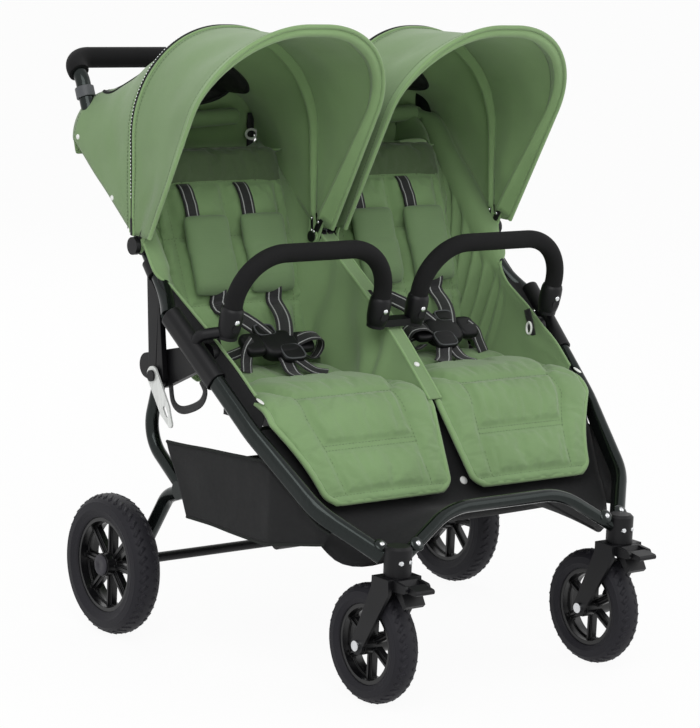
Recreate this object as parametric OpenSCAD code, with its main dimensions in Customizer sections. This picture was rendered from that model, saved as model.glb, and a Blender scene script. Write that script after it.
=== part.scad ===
// Side by side double stroller: one frame, two seats, two folding hoods, four wheels.
// Millimetres. +X is right seen from the front, +Y is towards the handle, +Z is up, floor at Z 0.

/* [Wheels] */
// Rear wheel diameter
rear_wheel_diameter = 230; // [210:1:244]
// Rear tyre width
rear_tyre_width = 50; // [40:1:54]
// Front wheel diameter
front_wheel_diameter = 185; // [165:1:188]
// Front tyre width
front_tyre_width = 45; // [36:1:50]
// Width across the rear tyres
overall_width = 760; // [752:1:800]
// Distance from the swivel axis back to the front axle
caster_trail = 50; // [44:1:54]

/* [Frame tubes] */
// Depth of the oval rail, across the frame plane
rail_depth = 30; // [26:0.5:32]
// Width of the oval rail, in the frame plane
rail_width = 20; // [16:0.5:22]
// Handle tube diameter
handle_tube_diameter = 24; // [20:0.5:25]
// Foam grip diameter
grip_diameter = 34; // [30:0.5:38]
// Rear leg tube diameter
leg_tube_diameter = 22; // [18:0.5:23]
// Rear axle tube diameter
axle_tube_diameter = 16; // [14:0.5:20]
// Bumper bar diameter with its foam
bumper_diameter = 29; // [24:0.5:32]
// Hood bow diameter
bow_diameter = 7; // [5:0.5:7]

/* [Seats] */
// Seat pad thickness
seat_thickness = 34; // [28:1:34]
// Back pad thickness
back_thickness = 38; // [30:1:38]
// Half width of a back pad
back_half_width = 131; // [120:1:132]
// Length of a back pad above its hinge
back_length = 366; // [340:1:370]
// Recline angle of the backs from the floor
back_angle = 68; // [64:1:72]
// Cloth thickness of hoods and panels
cloth = 3; // [2:0.5:3.5]

/* [Hoods] */
// Height of the front edge of a hood above its foot, along the edge
front_hoop_height = 384; // [372:1:392]
// Forward lean of the front edge of a hood
front_hoop_lean = 28; // [25:1:30]
// Height of the middle seam of a hood above its foot, along the seam
middle_hoop_height = 323; // [312:1:332]
// Backward lean of the middle seam of a hood
middle_hoop_lean = 4; // [2:1:6]

/* [Fits] */
// Radial clearance of a pin in a turning hole
pin_clearance = 0.05; // [0.03:0.01:0.08]
// Gap between parts that move past each other
side_gap = 0.4; // [0.3:0.1:0.8]
// Gap between parts that sit on each other
seat_gap = 0.2; // [0.1:0.05:0.3]

/* [Output] */
// Node to draw

/* [Hidden] */
$fn = 48;

// Colours
tube_colour = [0.20, 0.23, 0.22];
black = [0.07, 0.07, 0.08];
green = [0.42, 0.54, 0.36];
dark_green = [0.33, 0.44, 0.29];
silver = [0.80, 0.81, 0.82];
grey = [0.45, 0.46, 0.47];

// Side view positions, each as [y, z]
fold_pivot = [115, 440];
leg_pivot = [160, 448];
hood_pivot = [156, 640];
rail_top = [50, 540];
rail_pitch = 38.9;
rear_axle_y = 216;
rear_axle_z = rear_wheel_diameter / 2;
front_axle_z = front_wheel_diameter / 2;
swivel_y = -350;
swivel_x = 223;
front_axle_y = swivel_y + caster_trail;

// Frame
rail_x = 364;
rail_bend_s = 235;
rail_end = 13;
handle_x = 344;
handle_r = handle_tube_diameter / 2;
grip_r = grip_diameter / 2;
handle_bar = [418 - grip_r, 915];
handle_side = [[66, 543], [100, 570], [334, 824], [362, 886]];
sleeve_wall = 4;
plate_inner_x = 326;
plate_thick = 12;
plate_outer_x = plate_inner_x + plate_thick;
arm_inner_x = plate_outer_x + 2;
arm_thick = 10;
arm_outer_x = arm_inner_x + arm_thick;
latch_washer = 3;
latch_x = arm_outer_x + latch_washer + 2 * side_gap;
latch_thick = 3;
hinge_pin_r = 5;
leg_r = leg_tube_diameter / 2;
leg_eye_half = 12.5;
axle_r = axle_tube_diameter / 2;
stub_r = 6;
cross_tube = [-122, 390];
cross_tube_r = 8;

// Wheels
rear_wheel_x = (overall_width - rear_tyre_width) / 2;
rear_hub_in = rear_wheel_x - rear_tyre_width / 2 - 2;
rear_hub_out = rear_wheel_x + rear_tyre_width / 2 - 4;
arm_r = leg_r + 1;
hub_clear = 4.5;
leg_x = rear_hub_in - hub_clear - arm_r - 1.5;
fork_gap = front_tyre_width / 2 + 3;
fork_wall = 6;
bolt_r = 5;
stem_r = 7;
housing_r = 21;
housing_low = 208;
housing_top = 253;
crown_low = 190;
crown_top = housing_low - side_gap;
lever_pin = [-394, 198];
lever_tip_y = -418;

// Seats
seat_x = 166;
seat_z = 430;
seat_back_y = 91;
knee = [-138, 430];
leg_end = [-232, 289];
knee_radius = 50;
seat_top = seat_z + seat_thickness / 2;
board_low = 392;
board_top = seat_z - seat_thickness / 2 - seat_gap;
back_x = 168;
back_pin = 22;

// Hoods
hood_x = 191;
hood_half = 177.5;
bow_r = bow_diameter / 2;
bow_under = cloth / 2 + bow_r + 1.2;
bow_half = hood_half - bow_under;
front_radius = 162;
middle_radius = 172;
rear_hoop = [344, 791];
rear_hoop_height = 75;
rear_radius = 72;
rear_hoop_drop = 26;
knob_r = 14;
front_foot = hood_pivot + [-40, knob_r + cloth / 2];
middle_foot = hood_pivot + [4, knob_r + cloth / 2 + 0.5];
eye_thick = 3;
bow_start = 45;
bow_ease = 3;

function unit(v) = v / norm(v);
function mix(a, b, f) = a + (b - a) * f;
function on_rail(x, s) = [x, rail_top[0] - s * cos(rail_pitch), rail_top[1] - s * sin(rail_pitch)];
function rail_s(y) = (rail_top[0] - y) / cos(rail_pitch);
rail_up = [0, -sin(rail_pitch), cos(rail_pitch)];
rail_path = [
    on_rail(rail_x, 2), on_rail(340, rail_bend_s), on_rail(305, 395),
    on_rail(swivel_x + rail_end, 500 - rail_end)
];
rail_bends = [0, 250, 120, 0];
function rail_x_at(s) =
    s < rail_bend_s ? mix(rail_x, 340, s / rail_bend_s)
    : s < 395 ? mix(340, 305, (s - rail_bend_s) / (395 - rail_bend_s))
    : mix(305, swivel_x, (s - 395) / 105);

// Bent tubes: straight runs joined by true arcs
function turn(p, i) = acos(unit(p[i] - p[i - 1]) * unit(p[i + 1] - p[i]));
function cut(p, r, i) = i == 0 || i == len(p) - 1 ? 0 : r[i] * tan(turn(p, i) / 2);
function square_to(d) = unit(cross(abs(d[2]) < 0.9 ? [0, 0, 1] : [0, 1, 0], d));
function axes(a, b, c, o) = [
    [a[0], b[0], c[0], o[0]], [a[1], b[1], c[1], o[1]], [a[2], b[2], c[2], o[2]], [0, 0, 0, 1]
];

// Section of a tube: round, or oval when the height is more than the width
module section(w, h, bore, grow) {
    difference() {
        union() {
            if (h > w) {
                square([w + 2 * grow, h - w], center = true);
                translate([0, (h - w) / 2])
                    circle(d = w + 2 * grow);
                translate([0, (w - h) / 2])
                    circle(d = w + 2 * grow);
            } else {
                circle(d = w + 2 * grow);
            }
        }
        if (bore > 0)
            circle(d = bore);
    }
}

// Each joint of a run and an arc sits in a weld band a little larger than the tube
weld_half = 1;
weld_grow = 0.06;
weld_skip = 0.4;

module tube_run(a, b, up, w, h, bore, grow) {
    d = unit(b - a);
    n = is_undef(up) ? square_to(d) : up;
    multmatrix(axes(cross(n, d), n, d, a))
        linear_extrude(height = norm(b - a))
            section(w, h, bore, grow);
}

module bent_tube(p, r, w, h = 0, up = undef, bore = 0) {
    last = len(p) - 1;
    for (i = [0:last - 1]) {
        d = unit(p[i + 1] - p[i]);
        a = p[i] + d * (cut(p, r, i) + (i == 0 ? 0 : weld_skip));
        b = p[i + 1] - d * (cut(p, r, i + 1) + (i == last - 1 ? 0 : weld_skip));
        tube_run(a, b, up, w, h, bore, 0);
        if (i > 0)
            tube_run(a - d * weld_half, a + d * weld_half, up, w, h, bore, weld_grow);
        if (i < last - 1)
            tube_run(b - d * weld_half, b + d * weld_half, up, w, h, bore, weld_grow);
    }
    if (last > 1)
        for (i = [1:last - 1]) {
            d = unit(p[i] - p[i - 1]);
            e = unit(p[i + 1] - p[i]);
            n = unit(e - d * (d * e));
            multmatrix(axes(-n, d, cross(-n, d), p[i] - d * cut(p, r, i) + n * r[i]))
                rotate_extrude(angle = turn(p, i))
                    translate([r[i], 0])
                        section(w, h, bore, 0);
        }
}

// A round bar along X between two places
module bar_x(x0, x1, yz, r) {
    translate([x0, yz[0], yz[1]])
        rotate([0, 90, 0])
            cylinder(r = r, h = x1 - x0);
}

// A flat plate in the side view, from x0 to x1
module side_plate(x0, x1) {
    multmatrix([[0, 0, 1, x0], [1, 0, 0, 0], [0, 1, 0, 0], [0, 0, 0, 1]])
        linear_extrude(height = x1 - x0)
            children();
}

// A straight bar with round ends in the side view
module link(a, b, ra, rb) {
    d = unit(b - a);
    n = [-d[1], d[0]];
    translate(a)
        circle(r = ra);
    translate(b)
        circle(r = rb);
    polygon([a + n * ra, a - n * ra, b - n * rb, b + n * rb]);
}

module pair() {
    children();
    mirror([1, 0, 0])
        children();
}

// Thin cloth over a grid of points, with its thickness shared between both sides
function grid_normal(g, i, j) =
    unit(cross(
        g[min(i + 1, len(g) - 1)][j] - g[max(i - 1, 0)][j],
        g[i][min(j + 1, len(g[0]) - 1)] - g[i][max(j - 1, 0)]
    ));

module sheet(g, t) {
    rows = len(g);
    cols = len(g[0]);
    n = rows * cols;
    lift = [for (i = [0:rows - 1]) for (j = [0:cols - 1]) grid_normal(g, i, j) * t / 2];
    flat = [for (i = [0:rows - 1]) for (j = [0:cols - 1]) g[i][j]];
    edge = concat(
        [for (i = [0:rows - 2]) i * cols],
        [for (j = [0:cols - 2]) (rows - 1) * cols + j],
        [for (i = [rows - 1:-1:1]) i * cols + cols - 1],
        [for (j = [cols - 1:-1:1]) j]
    );
    m = len(edge);
    cells = [for (i = [0:rows - 2]) for (j = [0:cols - 2]) i * cols + j];
    polyhedron(
        points = concat(flat + lift, flat - lift),
        faces = concat(
            [for (a = cells) [a, a + cols + 1, a + cols]],
            [for (a = cells) [a, a + 1, a + cols + 1]],
            [for (a = cells) [n + a, n + a + cols, n + a + cols + 1]],
            [for (a = cells) [n + a, n + a + cols + 1, n + a + 1]],
            [for (k = [0:m - 1]) [edge[k], edge[(k + 1) % m], n + edge[(k + 1) % m]]],
            [for (k = [0:m - 1]) [edge[k], n + edge[(k + 1) % m], n + edge[k]]]
        )
    );
}

// A padded form: closed loops along a path, capped at both ends
module padded(loops) {
    m = len(loops[0]);
    k = len(loops);
    polyhedron(
        points = [for (l = loops) for (p = l) p],
        faces = concat(
            [[for (j = [0:m - 1]) j]],
            [[for (j = [m - 1:-1:0]) (k - 1) * m + j]],
            [for (i = [0:k - 2]) for (j = [0:m - 1])
                [i * m + j, (i + 1) * m + j, (i + 1) * m + (j + 1) % m]],
            [for (i = [0:k - 2]) for (j = [0:m - 1])
                [i * m + j, (i + 1) * m + (j + 1) % m, i * m + (j + 1) % m]]
        )
    );
}

// Loop of a cushion: flat middle, soft crown, drawn-in sides
loop_points = 20;
function power(v, e) = sign(v) * pow(abs(v), e);
function cushion_loop(c, n, x, w, t) = [
    for (k = [0:loop_points - 1])
        let (a = 360 * k / loop_points, u = t / 2 * power(sin(a), 0.62))
        [x + w * power(cos(a), 0.5), c[0] + n[0] * u, c[1] + n[1] * u]
];
function channel(s, at, deep, wide) = 1 - deep * exp(-pow((s - at) / wide, 2));
function end_round(s, length, r) =
    let (d = min(s, length - s))
    d >= r ? 1 : sqrt(max(0.04, 1 - pow(1 - d / r, 2)));

// Rails, front bar and swivel housings
module rail() {
    bent_tube(rail_path, rail_bends, rail_width, rail_depth, rail_up);
}

front_bar_path = [
    [swivel_x - rail_end, swivel_y + 2, 234], [112, swivel_y + 20, 293],
    [-112, swivel_y + 20, 293], [rail_end - swivel_x, swivel_y + 2, 234]
];

module right_rail() {
    color(tube_colour)
        rail();
}

module left_rail() {
    color(tube_colour)
        mirror([1, 0, 0])
            rail();
}

module front_bar() {
    color(tube_colour)
        bent_tube(front_bar_path, [0, 130, 130, 0], rail_width);
}

module caster_housings() {
    color(black)
        pair()
            difference() {
                union() {
                    translate([swivel_x, swivel_y, housing_low])
                        cylinder(r = housing_r, h = housing_top - housing_low - 4);
                    translate([swivel_x, swivel_y, housing_top - 4])
                        cylinder(r1 = housing_r, r2 = housing_r - 4, h = 4);
                }
                translate([swivel_x, swivel_y, housing_low - 1])
                    cylinder(r = stem_r + pin_clearance, h = housing_top - housing_low - 8);
                tube_run(rail_path[2], rail_path[3], rail_up, rail_width, rail_depth, 0, pin_clearance);
                tube_run(front_bar_path[1], front_bar_path[0], undef, rail_width, 0, 0, pin_clearance);
            }
}

// Black sleeves that lock the handle to the rails, in the direction of the rail
rail_start_dir = unit(rail_path[1] - rail_path[0]);
sleeve_from = -10;
sleeve_length = 140;

module on_sleeve(s) {
    multmatrix(axes(
        cross(rail_up, rail_start_dir), rail_up, rail_start_dir, rail_path[0] + rail_start_dir * s
    ))
        children();
}

module sleeve_solid() {
    on_sleeve(sleeve_from)
        linear_extrude(height = sleeve_length)
            section(rail_width, rail_depth, 0, sleeve_wall + pin_clearance);
}

module hinge_sleeves() {
    color(black)
        pair()
            on_sleeve(sleeve_from)
                linear_extrude(height = sleeve_length)
                    difference() {
                        section(rail_width, rail_depth, 0, sleeve_wall);
                        section(rail_width, rail_depth, 0, seat_gap);
                    }
}

// Side plates that carry the fold pins and the rear legs
sleeve_boss = [-8, 492];

module hinge_plates() {
    color(black)
        pair()
            difference() {
                union() {
                    side_plate(plate_inner_x, plate_outer_x) {
                        link(sleeve_boss, fold_pivot, 17, 21);
                        link(fold_pivot, leg_pivot, 21, 20);
                        link(sleeve_boss, leg_pivot, 17, 20);
                    }
                    bar_x(plate_outer_x - 2, rail_x - 10, sleeve_boss, 9);
                    bar_x(plate_outer_x - 2, latch_x + latch_thick + side_gap, fold_pivot, hinge_pin_r);
                    bar_x(latch_x + latch_thick + side_gap, latch_x + latch_thick + 4, fold_pivot, 9);
                    bar_x(arm_outer_x + side_gap, latch_x - side_gap, fold_pivot, 9);
                    bar_x(back_x + back_half_width - back_pin, plate_inner_x + 2, fold_pivot, hinge_pin_r);
                    bar_x(leg_x - leg_eye_half - side_gap, plate_inner_x + 2, leg_pivot, hinge_pin_r);
                    bar_x(leg_x - leg_eye_half - 4, leg_x - leg_eye_half - side_gap, leg_pivot, 9);
                }
                sleeve_solid();
            }
}

// Seat board with its cross tube, the centre spine and the centre hinge lugs
spine_r = 8;
spine_path = [[0, -100, 404], [0, -112, 440], [0, 32, 562]];
lug_x = 11;

module seat_base() {
    color(black) {
        difference() {
            union() {
                side_plate(-292, 292)
                    polygon([[-117, board_low], [10, board_low], [10, board_top], [-117, board_top]]);
                side_plate(-150, 150)
                    polygon([[9, board_low], [82, board_low], [82, board_top], [9, board_top]]);
                bar_x(-336, 336, cross_tube, cross_tube_r);
                bent_tube(spine_path, [0, 26, 0], 2 * spine_r);
                pair()
                    side_plate(lug_x, lug_x + 6)
                        link(fold_pivot, [74, board_low + 7], 16, 7);
                bar_x(
                    back_half_width - back_x - back_pin, back_x - back_half_width + back_pin, fold_pivot,
                    hinge_pin_r
                );
            }
            pair()
                on_sleeve(0)
                    linear_extrude(height = rail_bend_s + 8)
                        section(rail_width, rail_depth, 0, side_gap);
        }
    }
}

// Black panel behind the leg pads, from the cross tube to the front bar
panel_half = [286, 304, 296, 268, 196];
panel_top_y = cross_tube[0] - cross_tube_r - cloth / 2 + 0.3;
panel_side = [[panel_top_y, 394], [-166, 343], [-214, 274], [-262, 272], [swivel_y + 34, 286]];

function bar_drop(x) = abs(x) < 82 ? 0 : (abs(x) - 82) * 0.52;

module calf_panel() {
    color(black)
        sheet(
            [for (k = [-7:7])
                [for (j = [0:4])
                    let (x = k / 7 * panel_half[j], f = [0, 0, 0, 0.4, 1][j])
                    [x, panel_side[j][0], panel_side[j][1] - f * bar_drop(x)]]],
            cloth
        );
}

// Seat pads: seat, knee and leg rest in one quilted form
knee_turn = atan2(knee[1] - leg_end[1], knee[0] - leg_end[0]);
knee_cut = knee_radius * tan(knee_turn / 2);
run_seat = seat_back_y - knee[0] - knee_cut;
run_knee = knee_radius * knee_turn * PI / 180;
run_leg = norm(leg_end - knee) - knee_cut;
run_all = run_seat + run_knee + run_leg;
function knee_angle(s) = max(0, min(knee_turn, (s - run_seat) / run_knee * knee_turn));
function seat_point(s) =
    s < run_seat ? [seat_back_y - s, seat_z]
    : s < run_seat + run_knee ?
        [knee[0] + knee_cut, seat_z - knee_radius]
            + knee_radius * [-sin(knee_angle(s)), cos(knee_angle(s))]
    : [knee[0] - knee_cut * cos(knee_turn), seat_z - knee_cut * sin(knee_turn)]
        - (s - run_seat - run_knee) * [cos(knee_turn), sin(knee_turn)];
function seat_normal(s) = [-sin(knee_angle(s)), cos(knee_angle(s))];
function seat_thick(s) =
    mix(seat_thickness, 24, min(1, max(0, (s - run_seat + 20) / 90)))
        * channel(s, 96, 0.16, 7) * channel(s, run_seat + 6, 0.2, 7)
        * channel(s, run_seat + run_knee + 52, 0.22, 7) * end_round(s, run_all, 15);
function seat_wide(s) =
    mix(125, 111, min(1, s / run_all)) * mix(0.9, 1, end_round(s, run_all, 24));
seat_steps = [
    for (k = [0:33]) k < 4 ? k * 4 : k > 29 ? run_all - (33 - k) * 4 : mix(16, run_all - 16, (k - 4) / 25)
];

module right_seat_pad() {
    color(green)
        padded([
            for (s = seat_steps)
                cushion_loop(
                    seat_point(s), seat_normal(s), mix(seat_x + 4, 145, s / run_all), seat_wide(s),
                    seat_thick(s)
                )
        ]);
}

module left_seat_pad() {
    mirror([1, 0, 0])
        right_seat_pad();
}

// Cloth walls between the frame and the seats
wall_top = [
    [-196, 352], [-150, 392], [-100, 434], [-50, 474], [0, 512], [50, 548], [100, 588], [150, 642],
    [200, 696], [250, 750], [292, 796]
];
wall_low = [
    [-190, 328], [-146, 399], [-96, 424], [-48, 428], [0, 430], [50, 432], [88, 456], [122, 530],
    [156, 620], [192, 706], [222, 780]
];
wall_x = plate_inner_x - cloth / 2 - seat_gap;
wall_low_x = 303;

module right_side_panel() {
    color(dark_green)
        sheet(
            [for (i = [0:len(wall_top) - 1])
                [for (f = [0, 0.25, 0.5, 0.75, 1])
                    let (p = mix(wall_top[i], wall_low[i], f))
                    [mix(min(wall_x, rail_x_at(rail_s(wall_top[i][0])) - 14), wall_low_x, f * f)
                        - (i == 0 ? 14 * f : 0), p[0], p[1]]]],
            cloth
        );
}

module left_side_panel() {
    mirror([1, 0, 0])
        right_side_panel();
}

ridge = [
    [-140, 448], [-112, 462], [-76, 490], [-40, 515], [0, 548], [26, 572], [56, 600]
];
ridge_low = [
    [-140, 432], [-106, 430], [-70, 430], [-36, 430], [0, 432], [30, 436], [60, 446]
];

module centre_panel() {
    color(dark_green)
        sheet(
            [for (i = [0:len(ridge) - 1])
                [for (x = [-38, -27, -16, 16, 27, 38])
                    let (f = abs(x) == 38 ? 1 : abs(x) == 27 ? 0.4 : 0, p = mix(ridge[i], ridge_low[i], f))
                    [x, p[0], p[1]]]],
            cloth
        );
}

// Bumper bars and their sockets
bumper_out = 324;
bumper_in = 38;
bumper_foot = [-47, 552];
bumper_top = [-72, 652];
bumper_dir = unit(bumper_top - bumper_foot);
bumper_corner = 80;
plug_r = 8;
plug_length = 24;
socket_r = 13;

function bumper_at(x, t) = [x, bumper_foot[0] + bumper_dir[0] * t, bumper_foot[1] + bumper_dir[1] * t];

module along_bumper(x, t) {
    translate(bumper_at(x, t))
        rotate([atan2(-bumper_dir[0], bumper_dir[1]), 0, 0])
            children();
}

module right_bumper_bar() {
    top = norm(bumper_top - bumper_foot);
    color(black) {
        bent_tube(
            [bumper_at(bumper_out, side_gap), bumper_at(bumper_out, top), bumper_at(bumper_in, top),
                bumper_at(bumper_in, side_gap)],
            [0, bumper_corner, bumper_corner, 0], bumper_diameter
        );
        for (x = [bumper_in, bumper_out])
            along_bumper(x, -plug_length)
                cylinder(r = plug_r, h = plug_length + 2);
    }
}

module left_bumper_bar() {
    mirror([1, 0, 0])
        right_bumper_bar();
}

module bumper_brackets() {
    color(black)
        pair()
            difference() {
                union() {
                    for (x = [bumper_in, bumper_out]) {
                        along_bumper(x, -plug_length - 8)
                            cylinder(r = socket_r + 2, h = plug_length + 8);
                        along_bumper(x, -10)
                            rotate([90, 0, 0])
                                cylinder(r = 7, h = socket_r + 5);
                    }
                    bent_tube(
                        [bumper_at(bumper_out, -20), [rail_x - 6, -14, 524], [rail_x - 4, 0, 505]],
                        [0, 14, 0], 18
                    );
                    along_bumper(0, -plug_length - 7)
                        translate([0, -9, 0])
                            cube([bumper_in, 18, 12]);
                }
                for (x = [bumper_in, bumper_out])
                    along_bumper(x, -plug_length - 1)
                        cylinder(r = plug_r + side_gap / 4, h = plug_length + 3);
                sleeve_solid();
            }
}

// Basket: an open tub between the legs with a cloth flap on each side
tub_x = leg_x - arm_r - 5;
flap_reach = 34;
basket_wall = 3;
tub_low = 224;
tub_outer = [[106, 334], [62, tub_low], [-176, tub_low], [-196, 250], [-150, 352]];
tub_inner = [
    [103, 360], [103, 334], [60, tub_low + basket_wall], [-174.5, tub_low + basket_wall],
    [-192.5, 250.5], [-147, 352], [-147, 360]
];
flap_top = [
    [112, 333], [60, 336], [0, 341], [-60, 345], [-120, 349], [-160, 348], [-210, 308], [-270, 260]
];
flap_low = [
    [50, 224], [20, 225], [-20, 226], [-70, 225], [-125, 225], [-160, 226], [-205, 234], [-264, 244]
];

module basket() {
    color(black) {
        difference() {
            side_plate(-tub_x, tub_x)
                polygon(tub_outer);
            side_plate(basket_wall - tub_x, tub_x - basket_wall)
                polygon(tub_inner);
        }
        pair() {
            sheet(
                [for (i = [0:len(flap_top) - 1])
                    [for (f = [0, 0.5, 1])
                        let (p = mix(flap_top[i], flap_low[i], f))
                        [min(tub_x + flap_reach, rail_x_at(rail_s(p[0])) - 3), p[0], p[1]]]],
                cloth
            );
            translate([tub_x - 1, -150, tub_low])
                cube([flap_reach + 2, 190, basket_wall]);
        }
    }
}

// Harness on the seats
strap_wide = 38;
strap_thick = 3;
buckle = [26, seat_top + seat_gap];

module right_lap_belt() {
    color(black) {
        translate([seat_x + 2, buckle[0], buckle[1]]) {
            translate([-24, -18, 0])
                cube([48, 36, 15]);
            translate([0, 0, 14])
                cylinder(r = 11, h = 4);
            translate([-strap_wide / 2, -66, 0])
                cube([strap_wide, 50, strap_thick]);
            for (k = [-1, 1])
                translate([k * 66, 14, 0])
                    rotate([0, 0, -k * 14])
                        translate([-48, -strap_wide / 2, 0])
                            cube([96, strap_wide, strap_thick]);
        }
    }
}

module left_lap_belt() {
    mirror([1, 0, 0])
        right_lap_belt();
}

// Rivet heads on the sleeves and the swivel housings
module frame_rivets() {
    color(silver)
        pair() {
            for (s = [52, 118])
                on_sleeve(sleeve_from + s)
                    translate([-rail_width / 2 - sleeve_wall, 0, 0])
                        rotate([0, -90, 0])
                            cylinder(r1 = 4, r2 = 2.6, h = 1.6);
            for (k = [-1, 1])
                translate([swivel_x, swivel_y, housing_low + 22])
                    rotate([90, 0, k * 24])
                        translate([0, 0, housing_r + 0.05])
                            cylinder(r1 = 4, r2 = 2.6, h = 1.8);
        }
}

// Handle: a bent tube from sleeve to sleeve under a foam grip
handle_bar_p = [handle_x, handle_bar[0], handle_bar[1]];
handle_half = concat(
    [[rail_x - 2, handle_side[0][0], handle_side[0][1]]],
    [for (k = [1:3]) [handle_x, handle_side[k][0], handle_side[k][1]]],
    [handle_bar_p]
);
handle_corner = 34;
function mirrored(p) = [-p[0], p[1], p[2]];
handle_path = concat(
    handle_half, [for (k = [len(handle_half) - 1:-1:0]) mirrored(handle_half[k])]
);
handle_bends = [0, 150, 140, 40, handle_corner, handle_corner, 40, 140, 150, 0];

module handle_tube() {
    color(tube_colour)
        bent_tube(handle_path, handle_bends, handle_tube_diameter);
}

grip_dir = unit(handle_bar_p - handle_half[3]);

module grip_shape(reach, wide) {
    start = handle_bar_p - grip_dir * (handle_corner + reach);
    bent_tube(
        [start, handle_bar_p, mirrored(handle_bar_p), mirrored(start)],
        [0, handle_corner, handle_corner, 0], wide
    );
}

module handle_grip() {
    color(black)
        difference() {
            grip_shape(3, grip_diameter);
            grip_shape(5, handle_tube_diameter + 2 * seat_gap);
        }
}

collar_at = mix(handle_half[2], handle_half[3], 0.62);
collar_dir = unit(handle_half[3] - handle_half[2]);

module grip_collars() {
    color(grey)
        pair()
            tube_run(
                collar_at - collar_dir * 9, collar_at + collar_dir * 9, undef, handle_tube_diameter, 0,
                handle_tube_diameter + 2 * seat_gap, 3.5
            );
}

// Straight middle run of a handle tube, with room for a clamp
module handle_run() {
    tube_run(handle_half[1], handle_half[2], undef, handle_tube_diameter, 0, 0, pin_clearance);
}

// Cross tube behind the hoods and the strut that carries the inner hood pivots
back_cross = [357, 800];
strut_r = 9;
strut_bend = hood_pivot + unit(hood_pivot - fold_pivot) * 62;
strut_path = [
    [0, fold_pivot[0], fold_pivot[1]], [0, strut_bend[0], strut_bend[1]], [0, back_cross[0], back_cross[1]]
];

cross_end = [[handle_x - 60, back_cross[0], back_cross[1]], [handle_x, 318, 806]];

module back_frame() {
    color(tube_colour)
        difference() {
            union() {
                bent_tube(strut_path, [0, 90, 0], 2 * strut_r);
                bent_tube(
                    [mirrored(cross_end[1]), mirrored(cross_end[0]), cross_end[0], cross_end[1]],
                    [0, 40, 40, 0], 2 * strut_r
                );
                bar_x(side_gap - lug_x, lug_x - side_gap, fold_pivot, 15);
            }
            bar_x(-20, 20, fold_pivot, hinge_pin_r + pin_clearance);
            pair()
                handle_run();
        }
}

// Plates that swing the handle about the fold pins
clamp_dir = unit(handle_half[2] - handle_half[1]);
arm_clamp = handle_half[1] + clamp_dir * 50;
arm_ring = [arm_clamp[1], arm_clamp[2]];

module hinge_arms() {
    color(black)
        pair()
            difference() {
                union() {
                    difference() {
                        side_plate(arm_inner_x, arm_outer_x)
                            link(fold_pivot, arm_ring, 20, 15);
                        tube_run(handle_half[1], handle_half[2], undef, handle_tube_diameter, 0, 0, 3);
                    }
                    tube_run(
                        arm_clamp - clamp_dir * 13, arm_clamp + clamp_dir * 13, undef,
                        handle_tube_diameter, 0, 0, 5
                    );
                }
                handle_run();
                bar_x(arm_inner_x - 1, arm_outer_x + 1, fold_pivot, hinge_pin_r + pin_clearance);
            }
}

// Hood pivots: outer clamps on the handle tube with a knob, inner bosses on the strut
eyes_out = hood_x + bow_half;
eyes_in = hood_x - bow_half;
pivot_pin_r = 4;

module hood_pivots() {
    color(black)
        pair()
            difference() {
                union() {
                    bar_x(handle_x - 4, eyes_out - eye_thick - 1 - side_gap, hood_pivot, 15);
                    bar_x(eyes_out - eye_thick - 3, eyes_out + eye_thick + 1, hood_pivot, pivot_pin_r);
                    bar_x(eyes_out + eye_thick + side_gap, eyes_out + eye_thick + 9, hood_pivot, knob_r);
                    bar_x(2, eyes_in - eye_thick - side_gap, hood_pivot, strut_r + 3);
                    bar_x(eyes_in - eye_thick - 2, eyes_in + eye_thick + 2, hood_pivot, pivot_pin_r);
                    bar_x(eyes_in + eye_thick + 1 + side_gap, eyes_in + eye_thick + 4, hood_pivot, 9);
                }
                handle_run();
                tube_run(strut_path[0], strut_path[1], undef, 2 * strut_r, 0, 0, pin_clearance);
            }
}

// Hoops as arches: straight legs and round shoulders
function arch_length(a, h, r) = 2 * (h - r) + PI * r + 2 * (a - r);
function arch_point(a, h, r, u) =
    let (
        l = arch_length(a, h, r), d = min(u, 1 - u) * l, s = u < 0.5 ? -1 : 1,
        q = d < h - r ? [a, d]
            : d < h - r + PI / 2 * r ?
                let (b = (d - h + r) / r * 180 / PI) [a - r + r * cos(b), h - r + r * sin(b)]
            : [a - r - (d - h + r - PI / 2 * r), h]
    )
    [s * q[0], q[1]];
function hoop_point(o, lean, a, h, r, u) =
    let (q = arch_point(a, h, r, u))
    [hood_x + q[0], o[0] - sin(lean) * q[1], o[1] + cos(lean) * q[1]];
function front_cloth(u) =
    hoop_point(front_foot, front_hoop_lean, hood_half, front_hoop_height, front_radius, u);
function middle_cloth(u) =
    hoop_point(middle_foot, -middle_hoop_lean, hood_half, middle_hoop_height, middle_radius, u);
function rear_cloth(u) = hoop_point(rear_hoop, 0, hood_half, rear_hoop_height, rear_radius, u);
hood_rows = [for (k = [0:26]) k / 26];
hood_bulge = 10;
hood_bulge_in = 1.5;
function bulge_at(x) = mix(hood_bulge_in, hood_bulge, min(1, (x - hood_x + hood_half) / 60));
function bulged(p, q, f) =
    let (m = mix(p, q, f), d = unit([(m[0] - hood_x) * 0.2, 0, max(0, m[2] - 700)]))
    m + d * bulge_at(m[0]) * 4 * f * (1 - f);

module right_hood_front() {
    color(green)
        sheet(
            [for (u = hood_rows)
                [for (f = [0.03, 0.25, 0.5, 0.75, 1]) bulged(middle_cloth(u), front_cloth(u), f)]],
            cloth
        );
}

module left_hood_front() {
    mirror([1, 0, 0])
        right_hood_front();
}

// A square slot in the cloth round a straight tube
module slot_run(a, b, w) {
    d = unit(b - a);
    n = square_to(d);
    multmatrix(axes(cross(n, d), n, d, a))
        linear_extrude(height = norm(b - a))
            square(w, center = true);
}

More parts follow.
